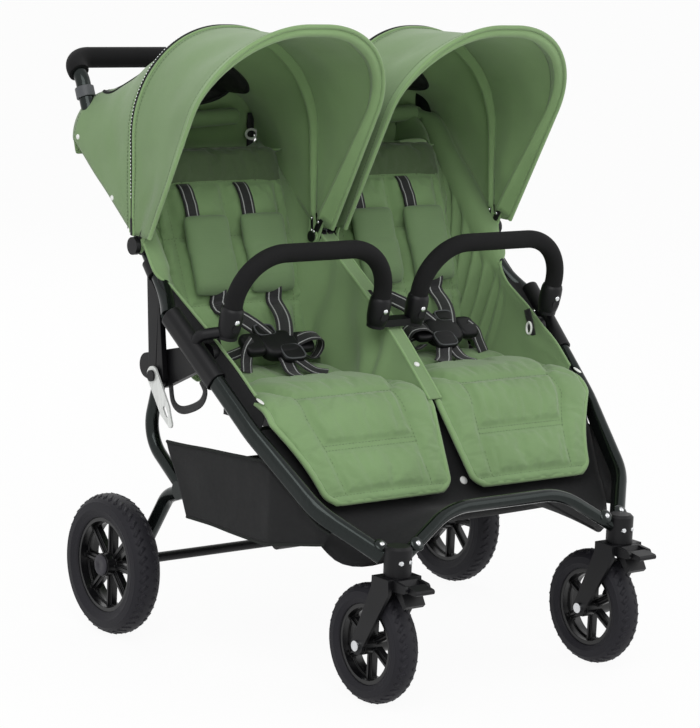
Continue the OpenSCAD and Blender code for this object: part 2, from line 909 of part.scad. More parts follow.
module right_hood_rear() {
    color(green)
        difference() {
            sheet(
                [for (u = hood_rows)
                    concat(
                        [[rear_cloth(u)[0], rear_hoop[0], rear_hoop[1] - rear_hoop_drop]],
                        [for (f = [0, 0.33, 0.66, 0.98]) bulged(rear_cloth(u), middle_cloth(u), f)]
                    )],
                cloth
            );
            for (k = [1:2])
                slot_run(handle_half[k], handle_half[k + 1], handle_tube_diameter + 6);
            slot_run(cross_end[0], cross_end[1], 2 * strut_r + 6);
        }
}

module left_hood_rear() {
    mirror([1, 0, 0])
        right_hood_rear();
}

// Hood bows: a flat eye on each pivot and a bent bow over the seat
module bow(crown, radius, eye_shift) {
    up = unit(crown - hood_pivot);
    top = crown - up * bow_under;
    foot = hood_pivot + up * bow_start;
    bent_tube(
        [[eyes_out, foot[0], foot[1]], [eyes_out, top[0], top[1]], [eyes_in, top[0], top[1]],
            [eyes_in, foot[0], foot[1]]],
        [0, radius - bow_under + bow_ease, radius - bow_under + bow_ease, 0], bow_diameter
    );
    difference() {
        for (x = [eyes_out + eye_shift, eyes_in - eye_shift - eye_thick])
            side_plate(x, x + eye_thick)
                link(hood_pivot, hood_pivot + up * (bow_start + 8), 12, bow_r - 0.5);
        bar_x(0, eyes_out + 20, hood_pivot, pivot_pin_r + pin_clearance);
    }
}

module right_middle_bow() {
    color(grey)
        bow(
            middle_foot + middle_hoop_height * [sin(middle_hoop_lean), cos(middle_hoop_lean)],
            middle_radius, -eye_thick - 1
        );
}

module left_middle_bow() {
    mirror([1, 0, 0])
        right_middle_bow();
}

module right_front_bow() {
    color(grey)
        bow(
            front_foot + (front_hoop_height - 6) * [-sin(front_hoop_lean), cos(front_hoop_lean)],
            front_radius, 0
        );
}

module left_front_bow() {
    mirror([1, 0, 0])
        right_front_bow();
}

// Seat backs, each turning about the fold pins
back_up = [cos(back_angle), sin(back_angle)];
back_front = [-sin(back_angle), cos(back_angle)];
back_end = 17;
back_run = back_length + back_end;
function back_thick(s) =
    back_thickness * channel(s, 120, 0.18, 8) * channel(s, 232, 0.18, 8)
        * end_round(s, back_run, back_end);
back_hip = 10;
function back_wide(s) =
    mix(0.9, 1, end_round(s, back_run, 26))
        * (back_half_width - back_hip * max(0, min(1, (120 - s) / 40)));
back_steps = [
    for (k = [0:27]) k < 4 ? k * 5 : k > 23 ? back_run - (27 - k) * 5 : mix(20, back_run - 20, (k - 4) / 19)
];

module right_back_pad() {
    color(green)
        difference() {
            padded([
                for (k = [len(back_steps) - 1:-1:0])
                    let (s = back_steps[k])
                    cushion_loop(
                        fold_pivot + back_up * (s - back_end), back_front, back_x, back_wide(s),
                        back_thick(s)
                    )
            ]);
            for (x = [back_x - back_half_width - 2, back_x + back_half_width - back_pin - 2])
                bar_x(x, x + back_pin + 4, fold_pivot, hinge_pin_r + pin_clearance);
        }
}

module left_back_pad() {
    mirror([1, 0, 0])
        right_back_pad();
}

// Shoulder straps with soft covers, lying on the back pad
strap_apart = 58;
strap_low = 92;
strap_high = 292;
cover_low = 156;
cover_high = 268;

module on_back(x, s) {
    o = fold_pivot + back_up * s + back_front * (back_thickness / 2 + seat_gap);
    multmatrix(axes(
        [1, 0, 0], [0, back_up[0], back_up[1]], [0, back_front[0], back_front[1]], [x, o[0], o[1]]
    ))
        children();
}

module right_shoulder_straps() {
    for (k = [-1, 1]) {
        color(black)
            on_back(back_x + k * strap_apart - strap_wide / 2, strap_low)
                cube([strap_wide, strap_high - strap_low, strap_thick]);
        color(green)
            on_back(back_x + k * strap_apart - 31, cover_low)
                translate([0, 0, strap_thick])
                    cube([62, cover_high - cover_low, 7]);
    }
}

module left_shoulder_straps() {
    mirror([1, 0, 0])
        right_shoulder_straps();
}

// Rear legs: a curved leg and a trailing arm on each side, joined at a block
leg_path = [[160, 430], [192, 326], [86, 259]];
arm_path = [[80, 258], [130, 240], [rear_axle_y, rear_axle_z]];

module rear_legs() {
    color(tube_colour)
        pair()
            difference() {
                union() {
                    bent_tube([for (p = leg_path) [leg_x, p[0], p[1]]], [0, 58, 0], leg_tube_diameter);
                    bent_tube([for (p = arm_path) [leg_x, p[0], p[1]]], [0, 46, 0], 2 * arm_r);
                    bar_x(leg_x - leg_eye_half, leg_x + leg_eye_half, leg_pivot, 18);
                    bar_x(leg_x - arm_r - 2, leg_x + arm_r + 2, [84, 259], 15);
                    bar_x(leg_x - arm_r - 1.5, leg_x + arm_r + 1.5, [rear_axle_y, rear_axle_z], 17);
                }
                bar_x(leg_x - 20, leg_x + 20, leg_pivot, hinge_pin_r + pin_clearance);
                bar_x(leg_x - 20, leg_x + 20, [rear_axle_y, rear_axle_z], axle_r + seat_gap / 2);
            }
}

module rear_axle() {
    hub = [rear_axle_y, rear_axle_z];
    color(tube_colour) {
        bar_x(-leg_x - arm_r - 3, leg_x + arm_r + 3, hub, axle_r);
        pair() {
            bar_x(leg_x, rear_hub_out + side_gap, hub, stub_r);
            bar_x(rear_hub_out + side_gap, rear_hub_out + 3, hub, 11);
        }
    }
}

// Wheels, drawn about the X axis
module tyre(radius, wide, rim_radius) {
    rotate([0, 90, 0])
        rotate_extrude()
            difference() {
                union() {
                    translate([radius - wide * 0.42, 0])
                        scale([0.84, 1])
                            circle(d = wide);
                    translate([rim_radius - 2, -wide * 0.4])
                        square([radius - wide * 0.42 - rim_radius + 2, wide * 0.8]);
                }
                translate([0, -wide])
                    square([rim_radius, 2 * wide]);
            }
}

module rim(rim_radius, wide, hub_radius, hub_low, hub_high, bore, spokes, spoke_wide) {
    rotate([0, 90, 0])
        difference() {
            union() {
                rotate_extrude() {
                    translate([rim_radius - 7, -wide * 0.44])
                        square([6.8, wide * 0.88]);
                    translate([rim_radius - 10, -3])
                        square([4, 6]);
                }
                translate([0, 0, hub_low])
                    cylinder(r = hub_radius, h = hub_high - hub_low);
                for (k = [0:spokes - 1])
                    rotate([0, 0, k * 360 / spokes])
                        translate([hub_radius - 3, -spoke_wide / 2, -5])
                            cube([rim_radius - hub_radius - 1, spoke_wide, 10]);
                for (k = [0:spokes - 1])
                    rotate([0, 0, k * 360 / spokes])
                        translate([hub_radius - 3, -spoke_wide / 6, -9])
                            cube([rim_radius - hub_radius - 1, spoke_wide / 3, 18]);
            }
            translate([0, 0, hub_low - 1])
                cylinder(r = bore, h = hub_high - hub_low + 2);
        }
}

rear_rim_r = rear_wheel_diameter / 2 - rear_tyre_width * 0.76;
front_rim_r = front_wheel_diameter / 2 - front_tyre_width * 0.68;

module right_rear_tyre() {
    color(black)
        translate([rear_wheel_x, rear_axle_y, rear_axle_z])
            tyre(rear_wheel_diameter / 2, rear_tyre_width, rear_rim_r);
}

module right_rear_rim() {
    color(black)
        translate([rear_wheel_x, rear_axle_y, rear_axle_z])
            rim(
                rear_rim_r, rear_tyre_width * 0.8, 19, rear_hub_in - rear_wheel_x,
                rear_hub_out - rear_wheel_x, stub_r + pin_clearance, 8, 13
            );
}

module left_rear_tyre() {
    mirror([1, 0, 0])
        right_rear_tyre();
}

module left_rear_rim() {
    mirror([1, 0, 0])
        right_rear_rim();
}

module right_front_tyre() {
    color(black)
        translate([swivel_x, front_axle_y, front_axle_z])
            tyre(front_wheel_diameter / 2, front_tyre_width, front_rim_r);
}

module right_front_rim() {
    color(black)
        translate([swivel_x, front_axle_y, front_axle_z])
            rim(
                front_rim_r, front_tyre_width * 0.8, 15, side_gap - fork_gap, fork_gap - side_gap,
                bolt_r + pin_clearance, 6, 12
            );
}

module left_front_tyre() {
    mirror([1, 0, 0])
        right_front_tyre();
}

module left_front_rim() {
    mirror([1, 0, 0])
        right_front_rim();
}

// Swivel forks: two arms, a crown with a front lip and a stem in the housing
function about_axle(y, z) = [front_axle_y + y, front_axle_z + z];

module right_fork() {
    color(black)
        translate([swivel_x, 0, 0])
            difference() {
                union() {
                    for (x = [-fork_gap - fork_wall, fork_gap])
                        side_plate(x, x + fork_wall) {
                            translate(about_axle(0, 0))
                                circle(r = 14);
                            polygon([
                                about_axle(-14, 0), about_axle(14, 0), [swivel_y + 21, crown_low + 2],
                                [swivel_y + 21, crown_top], [swivel_y - 18, crown_top],
                                [swivel_y - 20, crown_low - 4]
                            ]);
                        }
                    side_plate(-fork_gap - fork_wall, fork_gap + fork_wall)
                        polygon([
                            [swivel_y - 19, crown_low + 2], [swivel_y + 21, crown_low + 2],
                            [swivel_y + 21, crown_top], [swivel_y - 18, crown_top]
                        ]);
                    side_plate(7 - fork_gap, fork_gap - 7)
                        polygon([
                            [swivel_y - 16, crown_low + 2], [swivel_y - 16, crown_top],
                            [swivel_y - 26, crown_top - 1], [swivel_y - 46, crown_low - 18],
                            [swivel_y - 41, crown_low - 23]
                        ]);
                    translate([0, swivel_y, crown_top - 2])
                        cylinder(r = stem_r, h = housing_top - crown_top - 10);
                    for (x = [-fork_gap + 2, fork_gap - 8])
                        side_plate(x, x + 6)
                            link(lever_pin, [swivel_y - 20, crown_top - 9], 6, 8);
                    bar_x(-fork_gap + 3, fork_gap - 3, lever_pin, 2.5);
                }
                bar_x(-fork_gap - 20, fork_gap + 20, about_axle(0, 0), bolt_r + seat_gap / 2);
            }
}

module left_fork() {
    mirror([1, 0, 0])
        right_fork();
}

module right_axle_bolt() {
    reach = fork_gap + fork_wall;
    color(silver)
        translate([swivel_x, 0, 0]) {
            bar_x(-reach - seat_gap, reach + seat_gap, about_axle(0, 0), bolt_r);
            bar_x(-reach - 4, -reach - seat_gap, about_axle(0, 0), 8);
            bar_x(reach + seat_gap, reach + 4, about_axle(0, 0), 8);
        }
}

module left_axle_bolt() {
    mirror([1, 0, 0])
        right_axle_bolt();
}

// Lever that stops the swivel, turning on a pin in the fork
module right_swivel_lever() {
    tip = [lever_tip_y + 4, 196];
    color(black)
        translate([swivel_x, 0, 0])
            difference() {
                side_plate(8 + side_gap - fork_gap, fork_gap - 8 - side_gap)
                    link(lever_pin, tip, 5, 4);
                bar_x(-fork_gap, fork_gap, lever_pin, 2.5 + pin_clearance);
            }
}

module left_swivel_lever() {
    mirror([1, 0, 0])
        right_swivel_lever();
}

// Parking brake pedal on the middle of the rear axle
module brake_pedal() {
    hub = [rear_axle_y, rear_axle_z];
    color(black)
        difference() {
            union() {
                bar_x(-30, 30, hub, axle_r + 7);
                side_plate(-26, 26)
                    link(hub, hub + [52, 12], 7, 5);
            }
            bar_x(-40, 40, hub, axle_r + pin_clearance);
        }
}

// Silver latches outside the fold pins
module right_fold_latch() {
    color(silver)
        difference() {
            side_plate(latch_x, latch_x + latch_thick) {
                link(fold_pivot, [78, 392], 15, 14);
                link([78, 392], [62, 372], 14, 6);
            }
            bar_x(latch_x - 1, latch_x + latch_thick + 1, fold_pivot, hinge_pin_r + pin_clearance);
            side_plate(latch_x - 1, latch_x + latch_thick + 1)
                link([78, 394], [71, 385], 4, 4);
        }
}

module left_fold_latch() {
    mirror([1, 0, 0])
        right_fold_latch();
}

left_rail();
right_rail();
front_bar();
caster_housings();
hinge_sleeves();
hinge_plates();
seat_base();
calf_panel();
left_seat_pad();
right_seat_pad();
left_side_panel();
right_side_panel();
centre_panel();
bumper_brackets();
basket();
left_lap_belt();
right_lap_belt();
frame_rivets();
handle_tube();
handle_grip();
grip_collars();
back_frame();
hinge_arms();
hood_pivots();
left_hood_rear();
right_hood_rear();
left_back_pad();
right_back_pad();
left_shoulder_straps();
right_shoulder_straps();
left_middle_bow();
right_middle_bow();
left_front_bow();
right_front_bow();
left_hood_front();
right_hood_front();
rear_legs();
rear_axle();
left_rear_tyre();
left_rear_rim();
right_rear_tyre();
right_rear_rim();
left_fork();
right_fork();
left_axle_bolt();
right_axle_bolt();
left_front_tyre();
left_front_rim();
right_front_tyre();
right_front_rim();
left_swivel_lever();
right_swivel_lever();
left_bumper_bar();
right_bumper_bar();
brake_pedal();
left_fold_latch();
right_fold_latch();
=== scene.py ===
"""Looks of a side by side double stroller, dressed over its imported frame.

Metres. +X is right seen from the front, +Y is towards the handle, +Z is up, and the floor is at Z 0.
"""

import logging
import math
from dataclasses import dataclass
from enum import Enum
from typing import Callable, Sequence

import bpy
import numpy as np
from mathutils import Matrix, Vector, noise
from mathutils.bvhtree import BVHTree


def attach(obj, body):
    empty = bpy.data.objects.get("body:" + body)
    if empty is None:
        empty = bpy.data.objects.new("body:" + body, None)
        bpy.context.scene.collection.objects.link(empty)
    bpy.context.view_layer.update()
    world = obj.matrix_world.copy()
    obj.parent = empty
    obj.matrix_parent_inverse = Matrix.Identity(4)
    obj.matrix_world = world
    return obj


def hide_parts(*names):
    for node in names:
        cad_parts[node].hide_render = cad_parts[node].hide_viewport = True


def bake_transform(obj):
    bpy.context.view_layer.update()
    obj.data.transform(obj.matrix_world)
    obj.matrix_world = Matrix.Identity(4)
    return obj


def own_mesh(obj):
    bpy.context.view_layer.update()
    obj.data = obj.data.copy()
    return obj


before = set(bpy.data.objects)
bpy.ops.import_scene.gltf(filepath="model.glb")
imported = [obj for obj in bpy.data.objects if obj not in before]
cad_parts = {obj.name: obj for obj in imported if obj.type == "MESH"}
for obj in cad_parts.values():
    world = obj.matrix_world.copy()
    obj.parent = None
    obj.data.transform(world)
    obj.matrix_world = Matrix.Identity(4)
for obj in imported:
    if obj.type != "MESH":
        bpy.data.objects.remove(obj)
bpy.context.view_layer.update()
LOG = logging.getLogger("stroller")

Colour = tuple[int, int, int]
YZ = tuple[float, float]
Grid = list[list[Vector]]
Socket = bpy.types.NodeSocket
Object = bpy.types.Object
Material = bpy.types.Material

# The two edges of a seat: the way from its middle, and the word for it.
EDGES = ((-1, "inner"), (1, "outer"))


class Side(Enum):
    """A side of the stroller, seen from the front, with the sign of its X."""

    LEFT = -1
    RIGHT = 1

    @property
    def word(self) -> str:
        """The side's name as it stands in node names."""
        return self.name.lower()

    def at(self, x: float, y: float, z: float) -> Vector:
        """A point given for the right side, on this side."""
        return Vector((self.value * x, y, z))


def mix(a, b, f: float):
    """The value a share f of the way from a to b."""
    return a + (b - a) * f


def clamp(v: float, low: float = 0.0, high: float = 1.0) -> float:
    """v held between low and high."""
    return max(low, min(high, v))


def smooth(v: float) -> float:
    """A soft step from 0 to 1."""
    v = clamp(v)
    return v * v * (3 - 2 * v)


def power(v: float, e: float) -> float:
    """A signed power, for rounded sections."""
    return math.copysign(abs(v) ** e, v)


def steps(count: int) -> list[float]:
    """Even shares from 0 to 1, both ends included."""
    return [k / (count - 1) for k in range(count)]


def turns(count: int) -> list[float]:
    """Even angles round a full turn, in radians, its end left out."""
    return [math.tau * k / count for k in range(count)]


def soft_loop(count: int, across: float, up: float) -> list[tuple[float, float]]:
    """Places round a section from -1 to 1 both ways, squarer with smaller powers."""
    return [(power(math.cos(a), across), power(math.sin(a), up)) for a in turns(count)]


def oval(middle: Vector, one: Vector, two: Vector) -> list[Vector]:
    """A closed line round a middle, through the ends of two half axes."""
    return [middle + one * math.cos(math.tau * f) + two * math.sin(math.tau * f) for f in steps(25)]


def spline(points: Sequence[Sequence[float]], f: float) -> Vector:
    """A point on a smooth curve through points.

    Args:
        points: The points that the curve passes.
        f: The share of the way, from 0 to 1.

    Returns:
        The point at that share.
    """
    last = len(points) - 1
    i = min(int(f * last), last - 1)
    t = f * last - i
    a, b, c, d = (Vector(points[min(max(k, 0), last)]) for k in (i - 1, i, i + 1, i + 2))
    return 0.5 * (2 * b + (c - a) * t + (2 * a - 5 * b + 4 * c - d) * t ** 2 + (3 * b - a - 3 * c + d) * t ** 3)


def linear(colour: Colour) -> tuple[float, float, float, float]:
    """The linear colour, with full alpha, of an sRGB colour from 0 to 255."""
    shares = [c / 255 for c in colour]
    r, g, b = (s / 12.92 if s <= 0.04045 else ((s + 0.055) / 1.055) ** 2.4 for s in shares)
    return r, g, b, 1.0


def scaled(colour: Colour, share: float) -> Colour:
    """A colour made darker or lighter by a share."""
    r, g, b = (min(255, round(c * share)) for c in colour)
    return r, g, b


class NodeTree:
    """A node tree with one short call that adds a node and joins it."""

    def __init__(self, tree: bpy.types.NodeTree) -> None:
        """Keeps the tree's nodes and links."""
        self.nodes = tree.nodes
        self.links = tree.links

    def add(self, kind: str, values: dict | None = None, **settings: object) -> bpy.types.Node:
        """Adds a node.

        Args:
            kind: The node's type.
            values: What its inputs take, a value or another node's output.
            **settings: The node's own properties.

        Returns:
            The new node.
        """
        node = self.nodes.new(kind)
        for key, value in settings.items():
            setattr(node, key, value)
        for key, value in (values or {}).items():
            if isinstance(value, Socket):
                self.links.new(value, node.inputs[key])
            else:
                node.inputs[key].default_value = value
        return node


class Graph(NodeTree):
    """Node tree of one finish, with short calls for what a finish needs."""

    def __init__(self, name: str) -> None:
        """Starts a material with one Principled shader."""
        self.material = bpy.data.materials.new(name)
        self.material.use_nodes = True
        super().__init__(self.material.node_tree)
        self.shader = self.nodes["Principled BSDF"]
        place = self.nodes.new("ShaderNodeTexCoord")
        self.where = place.outputs["Object"]
        self.uv = place.outputs["UV"]

    def noise(self, scale: float, detail: float = 3.0, stretch: tuple = (1, 1, 1)) -> Socket:
        """Noise on the piece, from 0 to 1, stretched along its axes."""
        where = self.add("ShaderNodeMapping", {"Vector": self.where, "Scale": stretch}).outputs[0]
        return self.add("ShaderNodeTexNoise", {"Vector": where, "Scale": scale, "Detail": detail}).outputs[0]

    def bands(self, axis: str, pitch: float, where: Socket) -> Socket:
        """Waves of one pitch along an axis."""
        values = {"Vector": where, "Scale": math.pi / 10 / pitch}
        return self.add("ShaderNodeTexWave", values, bands_direction=axis).outputs["Fac"]

    def math(self, how: str, *terms: object) -> Socket:
        """A sum, product or other operation on terms."""
        return self.add("ShaderNodeMath", dict(enumerate(terms)), operation=how).outputs[0]

    def between(self, share: Socket, low: float, high: float) -> Socket:
        """A share from 0 to 1 spread between two values."""
        return self.add("ShaderNodeMapRange", {"Value": share, "To Min": low, "To Max": high}).outputs[0]

    def tint(self, share: Socket, one: Colour | Socket, two: Colour | Socket) -> Socket:
        """A colour between two colours."""
        ends = [c if isinstance(c, Socket) else linear(c) for c in (one, two)]
        return self.add("ShaderNodeMix", {0: share, 6: ends[0], 7: ends[1]}, data_type="RGBA").outputs[2]

    def close(self, colour: Socket, rough: Socket, height: Socket, depth: float, **fixed: float) -> Material:
        """Joins the shader.

        Args:
            colour: The base colour.
            rough: The roughness.
            height: The bump's height, from 0 to 1.
            depth: How deep a height of 1 is, in metres.
            **fixed: Constants for the shader's own sockets, with _ for a space.

        Returns:
            The finished material.
        """
        self.links.new(colour, self.shader.inputs["Base Color"])
        self.links.new(rough, self.shader.inputs["Roughness"])
        bump = self.add("ShaderNodeBump", {"Height": height, "Distance": depth, "Strength": 1.0})
        self.links.new(bump.outputs[0], self.shader.inputs["Normal"])
        for key, value in fixed.items():
            self.shader.inputs[key.replace("_", " ")].default_value = value
        return self.material


@dataclass(frozen=True)
class WovenCloth:
    """Plain woven cloth: threads both ways, soft creases and a faint change of shade."""

    name: str
    colour: Colour
    thread: float = 0.0014
    by_uv: bool = True
    sheen: float = 0.25
    crease: float = 0.0012

    def build(self) -> Material:
        """Makes the material."""
        g = Graph(self.name)
        where = g.uv if self.by_uv else g.where
        weave = g.math("MULTIPLY", g.bands("X", self.thread, where), g.bands("Y", self.thread, where))
        if not self.by_uv:
            weave = g.math("MULTIPLY", g.math("ADD", weave, g.bands("Z", self.thread, where)), 0.5)
        cloud = g.noise(9.0)
        colour = g.tint(cloud, scaled(self.colour, 0.91), scaled(self.colour, 1.06))
        colour = g.tint(g.between(weave, 0.16, 0.0), colour, scaled(self.colour, 0.6))
        folds = g.math("MULTIPLY", g.noise(26.0, 2.0), 0.85)
        height = g.math("ADD", folds, g.math("MULTIPLY", weave, 0.12))
        rough = g.between(g.noise(160.0), 0.78, 0.95)
        return g.close(colour, rough, height, self.crease, Sheen_Weight=self.sheen, Sheen_Roughness=0.5,
                       Specular_IOR_Level=0.25)


@dataclass(frozen=True)
class Webbing:
    """Ribbed black webbing with two pale lines, across the strap's own UV."""

    name: str
    colour: Colour = (18, 18, 20)
    line: Colour = (178, 180, 180)
    line_at: float = 0.0082
    line_half: float = 0.0009
    rib: float = 0.0022

    def build(self) -> Material:
        """Makes the material."""
        g = Graph(self.name)
        parts = g.add("ShaderNodeSeparateXYZ", {0: g.uv})
        across = g.math("ABSOLUTE", parts.outputs[0])
        stripe = g.math("COMPARE", across, self.line_at, self.line_half)
        ribs = g.bands("Y", self.rib, g.uv)
        ground = g.tint(g.noise(60.0), scaled(self.colour, 0.8), scaled(self.colour, 1.25))
        colour = g.tint(g.math("MULTIPLY", stripe, g.between(ribs, 0.6, 1.0)), ground, self.line)
        return g.close(colour, g.between(ribs, 0.6, 0.85), ribs, 0.0003, Sheen_Weight=0.1)


@dataclass(frozen=True)
class TubeMetal:
    """Lacquered tube: fine flakes, a long brushed grain and a little wear."""

    name: str
    colour: Colour
    metallic: float = 0.75
    rough: float = 0.3
    grain: tuple = (1, 1, 0.08)

    def build(self) -> Material:
        """Makes the material."""
        g = Graph(self.name)
        brushed = g.noise(420.0, 4.0, self.grain)
        flake = g.noise(1400.0, 2.0)
        colour = g.tint(brushed, scaled(self.colour, 0.82), scaled(self.colour, 1.16))
        colour = g.tint(g.math("MULTIPLY", flake, 0.12), colour, scaled(self.colour, 1.5))
        rough = g.between(brushed, self.rough - 0.04, self.rough + 0.05)
        return g.close(colour, rough, flake, 0.00004, Metallic=self.metallic)


@dataclass(frozen=True)
class Moulded:
    """Moulded plastic, foam or rubber: a grain of one size over cloudy wear."""

    name: str
    colour: Colour
    rough: float
    grain: float
    depth: float
    dust: float = 0.12
    shine: float = 0.25

    def build(self) -> Material:
        """Makes the material."""
        g = Graph(self.name)
        grain = g.noise(1.0 / self.grain, 2.0)
        cloud = g.noise(18.0, 4.0)
        colour = g.tint(cloud, scaled(self.colour, 0.9), scaled(self.colour, 1.0 + self.dust))
        colour = g.tint(g.math("MULTIPLY", grain, 0.2), colour, scaled(self.colour, 1.4))
        rough = g.between(cloud, self.rough - 0.07, self.rough + 0.08)
        return g.close(colour, rough, grain, self.depth, Specular_IOR_Level=self.shine)


@dataclass(frozen=True)
class NetCloth:
    """Fine black net with rows of small round holes, on the piece's UV; the holes are not cut but painted darker as
    shade in their pits.
    """

    name: str
    colour: Colour = (24, 25, 26)
    hole_shade: Colour = (8, 9, 9)
    pitch: float = 0.0032

    def build(self) -> Material:
        """Makes the material."""
        g = Graph(self.name)
        holes = g.math("MULTIPLY", g.bands("X", self.pitch, g.uv), g.bands("Y", self.pitch, g.uv))
        # Where the holes sink, the net is painted near black: painted shade in its pits.
        deep = g.math("GREATER_THAN", holes, 0.5)
        colour = g.tint(deep, self.colour, self.hole_shade)
        return g.close(colour, g.between(holes, 0.55, 0.9), g.math("SUBTRACT", 1.0, holes), 0.0004)


class Looks:
    """Every finish of the stroller, made once."""

    def __init__(self) -> None:
        """Builds the materials."""
        green: Colour = (122, 150, 104)
        self.green = WovenCloth("sage_cloth", green).build()
        self.hem = WovenCloth("sage_hem", scaled(green, 1.09)).build()
        self.pad = WovenCloth("sage_pad_cloth", scaled(green, 1.02), by_uv=False, crease=0.0009).build()
        # The head panel's darker green, 0.66 of the cloth, is painted shade.
        self.head_painted_shade = WovenCloth("sage_head_painted_shade", scaled(green, 0.66), by_uv=False).build()
        self.cover = WovenCloth("sage_cover_cloth", scaled(green, 0.88), by_uv=False, crease=0.0009).build()
        self.lining = WovenCloth("sage_lining", scaled(green, 1.12)).build()
        self.piping = WovenCloth("sage_piping", scaled(green, 1.08), by_uv=False, crease=0.0003).build()
        self.thread = WovenCloth("sage_thread", scaled(green, 0.78), by_uv=False, crease=0.0001).build()
        self.black_cloth = WovenCloth("black_cloth", (27, 28, 29), sheen=0.06).build()
        self.zip = WovenCloth("black_cord", (34, 37, 35), by_uv=False, sheen=0.0, crease=0.0003).build()
        self.net = NetCloth("window_net").build()
        self.webbing = Webbing("striped_webbing").build()
        self.plain_webbing = Webbing("plain_webbing", line=(30, 30, 33)).build()
        self.tube = TubeMetal("green_grey_tube", (35, 40, 39), rough=0.14).build()
        self.steel = TubeMetal("bright_steel", (206, 208, 210), metallic=1.0, rough=0.24).build()
        self.latch = TubeMetal("pale_latch", (214, 216, 214), metallic=0.35, rough=0.38).build()
        self.plastic = Moulded("black_plastic", (11, 11, 13), 0.44, 0.0009, 0.00006).build()
        self.gloss = Moulded("rim_plastic", (9, 9, 11), 0.30, 0.0012, 0.00003, 0.2, 0.4).build()
        self.cap = Moulded("hub_cap", (48, 47, 52), 0.5, 0.0009, 0.00005).build()
        self.collar = Moulded("grey_collar", (76, 78, 80), 0.42, 0.0009, 0.00005).build()
        self.foam = Moulded("grip_foam", (14, 14, 15), 0.86, 0.0011, 0.00025).build()
        self.tyre = Moulded("tyre_rubber", (25, 24, 29), 0.62, 0.0016, 0.00012, 0.25).build()
        self.snap = Moulded("snap_cap", (226, 228, 224), 0.35, 0.001, 0.00003).build()


def new_object(name: str, verts: Sequence[Vector], edges: list, faces: list, *finishes: Material) -> Object:
    """A new mesh object at the origin.

    Args:
        name: The piece's name.
        verts: Its points.
        edges: Its loose edges.
        faces: Its faces, seen from outside.
        *finishes: Its materials, the first for all faces.

    Returns:
        The object, in the scene.
    """
    mesh = bpy.data.meshes.new(name)
    mesh.from_pydata([tuple(v) for v in verts], edges, faces)
    for finish in finishes:
        mesh.materials.append(finish)
    mesh.shade_smooth()
    obj = bpy.data.objects.new(name, mesh)
    bpy.context.scene.collection.objects.link(obj)
    return obj


def set_uv(obj: Object, spot: Callable[[int], tuple[float, float]]) -> None:
    """Gives each corner the UV place of its point, in metres."""
    layer = obj.data.uv_layers.new(name="cloth")
    for loop in obj.data.loops:
        layer.data[loop.index].uv = spot(loop.vertex_index)


def run_lengths(points: Sequence[Vector]) -> list[float]:
    """How far along a line each of its points lies."""
    total = [0.0]
    for a, b in zip(points, points[1:]):
        total.append(total[-1] + (b - a).length)
    return total


def grid_object(name: str, rows: Grid, flip: bool, *finishes: Material) -> Object:
    """A sheet over a grid of points, with its UV in metres."""
    wide = len(rows[0])
    cells = [i * wide + j for i in range(len(rows) - 1) for j in range(wide - 1)]
    faces = [(a, a + wide, a + wide + 1, a + 1) for a in cells]
    if flip:
        faces = [f[::-1] for f in faces]
    obj = new_object(name, [p for row in rows for p in row], [], faces, *finishes)
    down = run_lengths([row[wide // 2] for row in rows])
    across = run_lengths(rows[len(rows) // 2])
    set_uv(obj, lambda k: (down[k // wide], across[k % wide]))
    return obj


def loft_object(name: str, loops: Grid, finish: Material, ring: bool = False) -> Object:
    """A closed form through loops of points, capped at both ends unless it is a ring."""
    m = len(loops[0])
    count = len(loops)
    faces = []
    for i in range(count if ring else count - 1):
        n = (i + 1) % count
        faces += [(i * m + j, n * m + j, n * m + (j + 1) % m, i * m + (j + 1) % m) for j in range(m)]
    if not ring:
        faces.append(tuple(range(m)))
        faces.append(tuple(range(count * m - 1, (count - 1) * m - 1, -1)))
    return new_object(name, [p for loop in loops for p in loop], [], faces, finish)


def frames_along(path: Sequence[Vector], up: Vector) -> list[tuple[Vector, Vector]]:
    """Two square directions at each point of a path, the second nearest to up."""
    pairs = []
    lift = up
    for i in range(len(path)):
        ahead = (path[min(i + 1, len(path) - 1)] - path[max(i - 1, 0)]).normalized()
        lift = (lift - ahead * lift.dot(ahead)).normalized()
        pairs.append((ahead.cross(lift), lift))
    return pairs


def tube_object(name: str, path: Sequence[Vector], radius: float, finish: Material, sides: int) -> Object:
    """A round tube along a path, with closed ends."""
    any_side = Vector((0.31, 0.17, 0.93))
    loops = [[p + a * radius * math.cos(t) + b * radius * math.sin(t) for t in turns(sides)]
             for p, (a, b) in zip(path, frames_along(path, any_side))]
    return loft_object(name, loops, finish)


def strap_object(name: str, path: Sequence[Vector], up: Vector, wide: float, thick: float, finish: Material) -> Object:
    """A flat strap along a path.

    Args:
        name: The piece's name.
        path: The middle line of the strap.
        up: The way that its flat side faces at the start.
        wide: Its width.
        thick: Its thickness.
        finish: Its webbing.

    Returns:
        The strap, with its width and run as UV.
    """
    half = wide / 2
    edge = half - thick
    section = [(edge, thick / 2), (half, 0), (edge, -thick / 2), (-edge, -thick / 2), (-half, 0), (-edge, thick / 2)]
    loops = [[p + a * x + b * z for x, z in section] for p, (a, b) in zip(path, frames_along(path, up))]
    obj = loft_object(name, loops, finish)
    run = run_lengths(path)
    corners = len(section)
    set_uv(obj, lambda k: (section[k % corners][0], run[k // corners]))
    return obj


def curve_through(points: Sequence[Vector], count: int) -> list[Vector]:
    """Points of a smooth curve through a few points."""
    return [spline(points, f) for f in steps(count)]


def subdivide(obj: Object) -> None:
    """One smooth subdivision, the same in every view."""
    mod = obj.modifiers.new("smooth", "SUBSURF")
    mod.levels = 1
    mod.render_levels = 1


def thicken(obj: Object, thick: float, lined: bool) -> None:
    """Gives a sheet its thickness, with its second finish on the inner face where it is lined."""
    mod = obj.modifiers.new("cloth", "SOLIDIFY")
    mod.thickness = thick
    mod.offset = 0.0
    mod.use_quality_normals = True
    if lined:
        mod.material_offset = 1


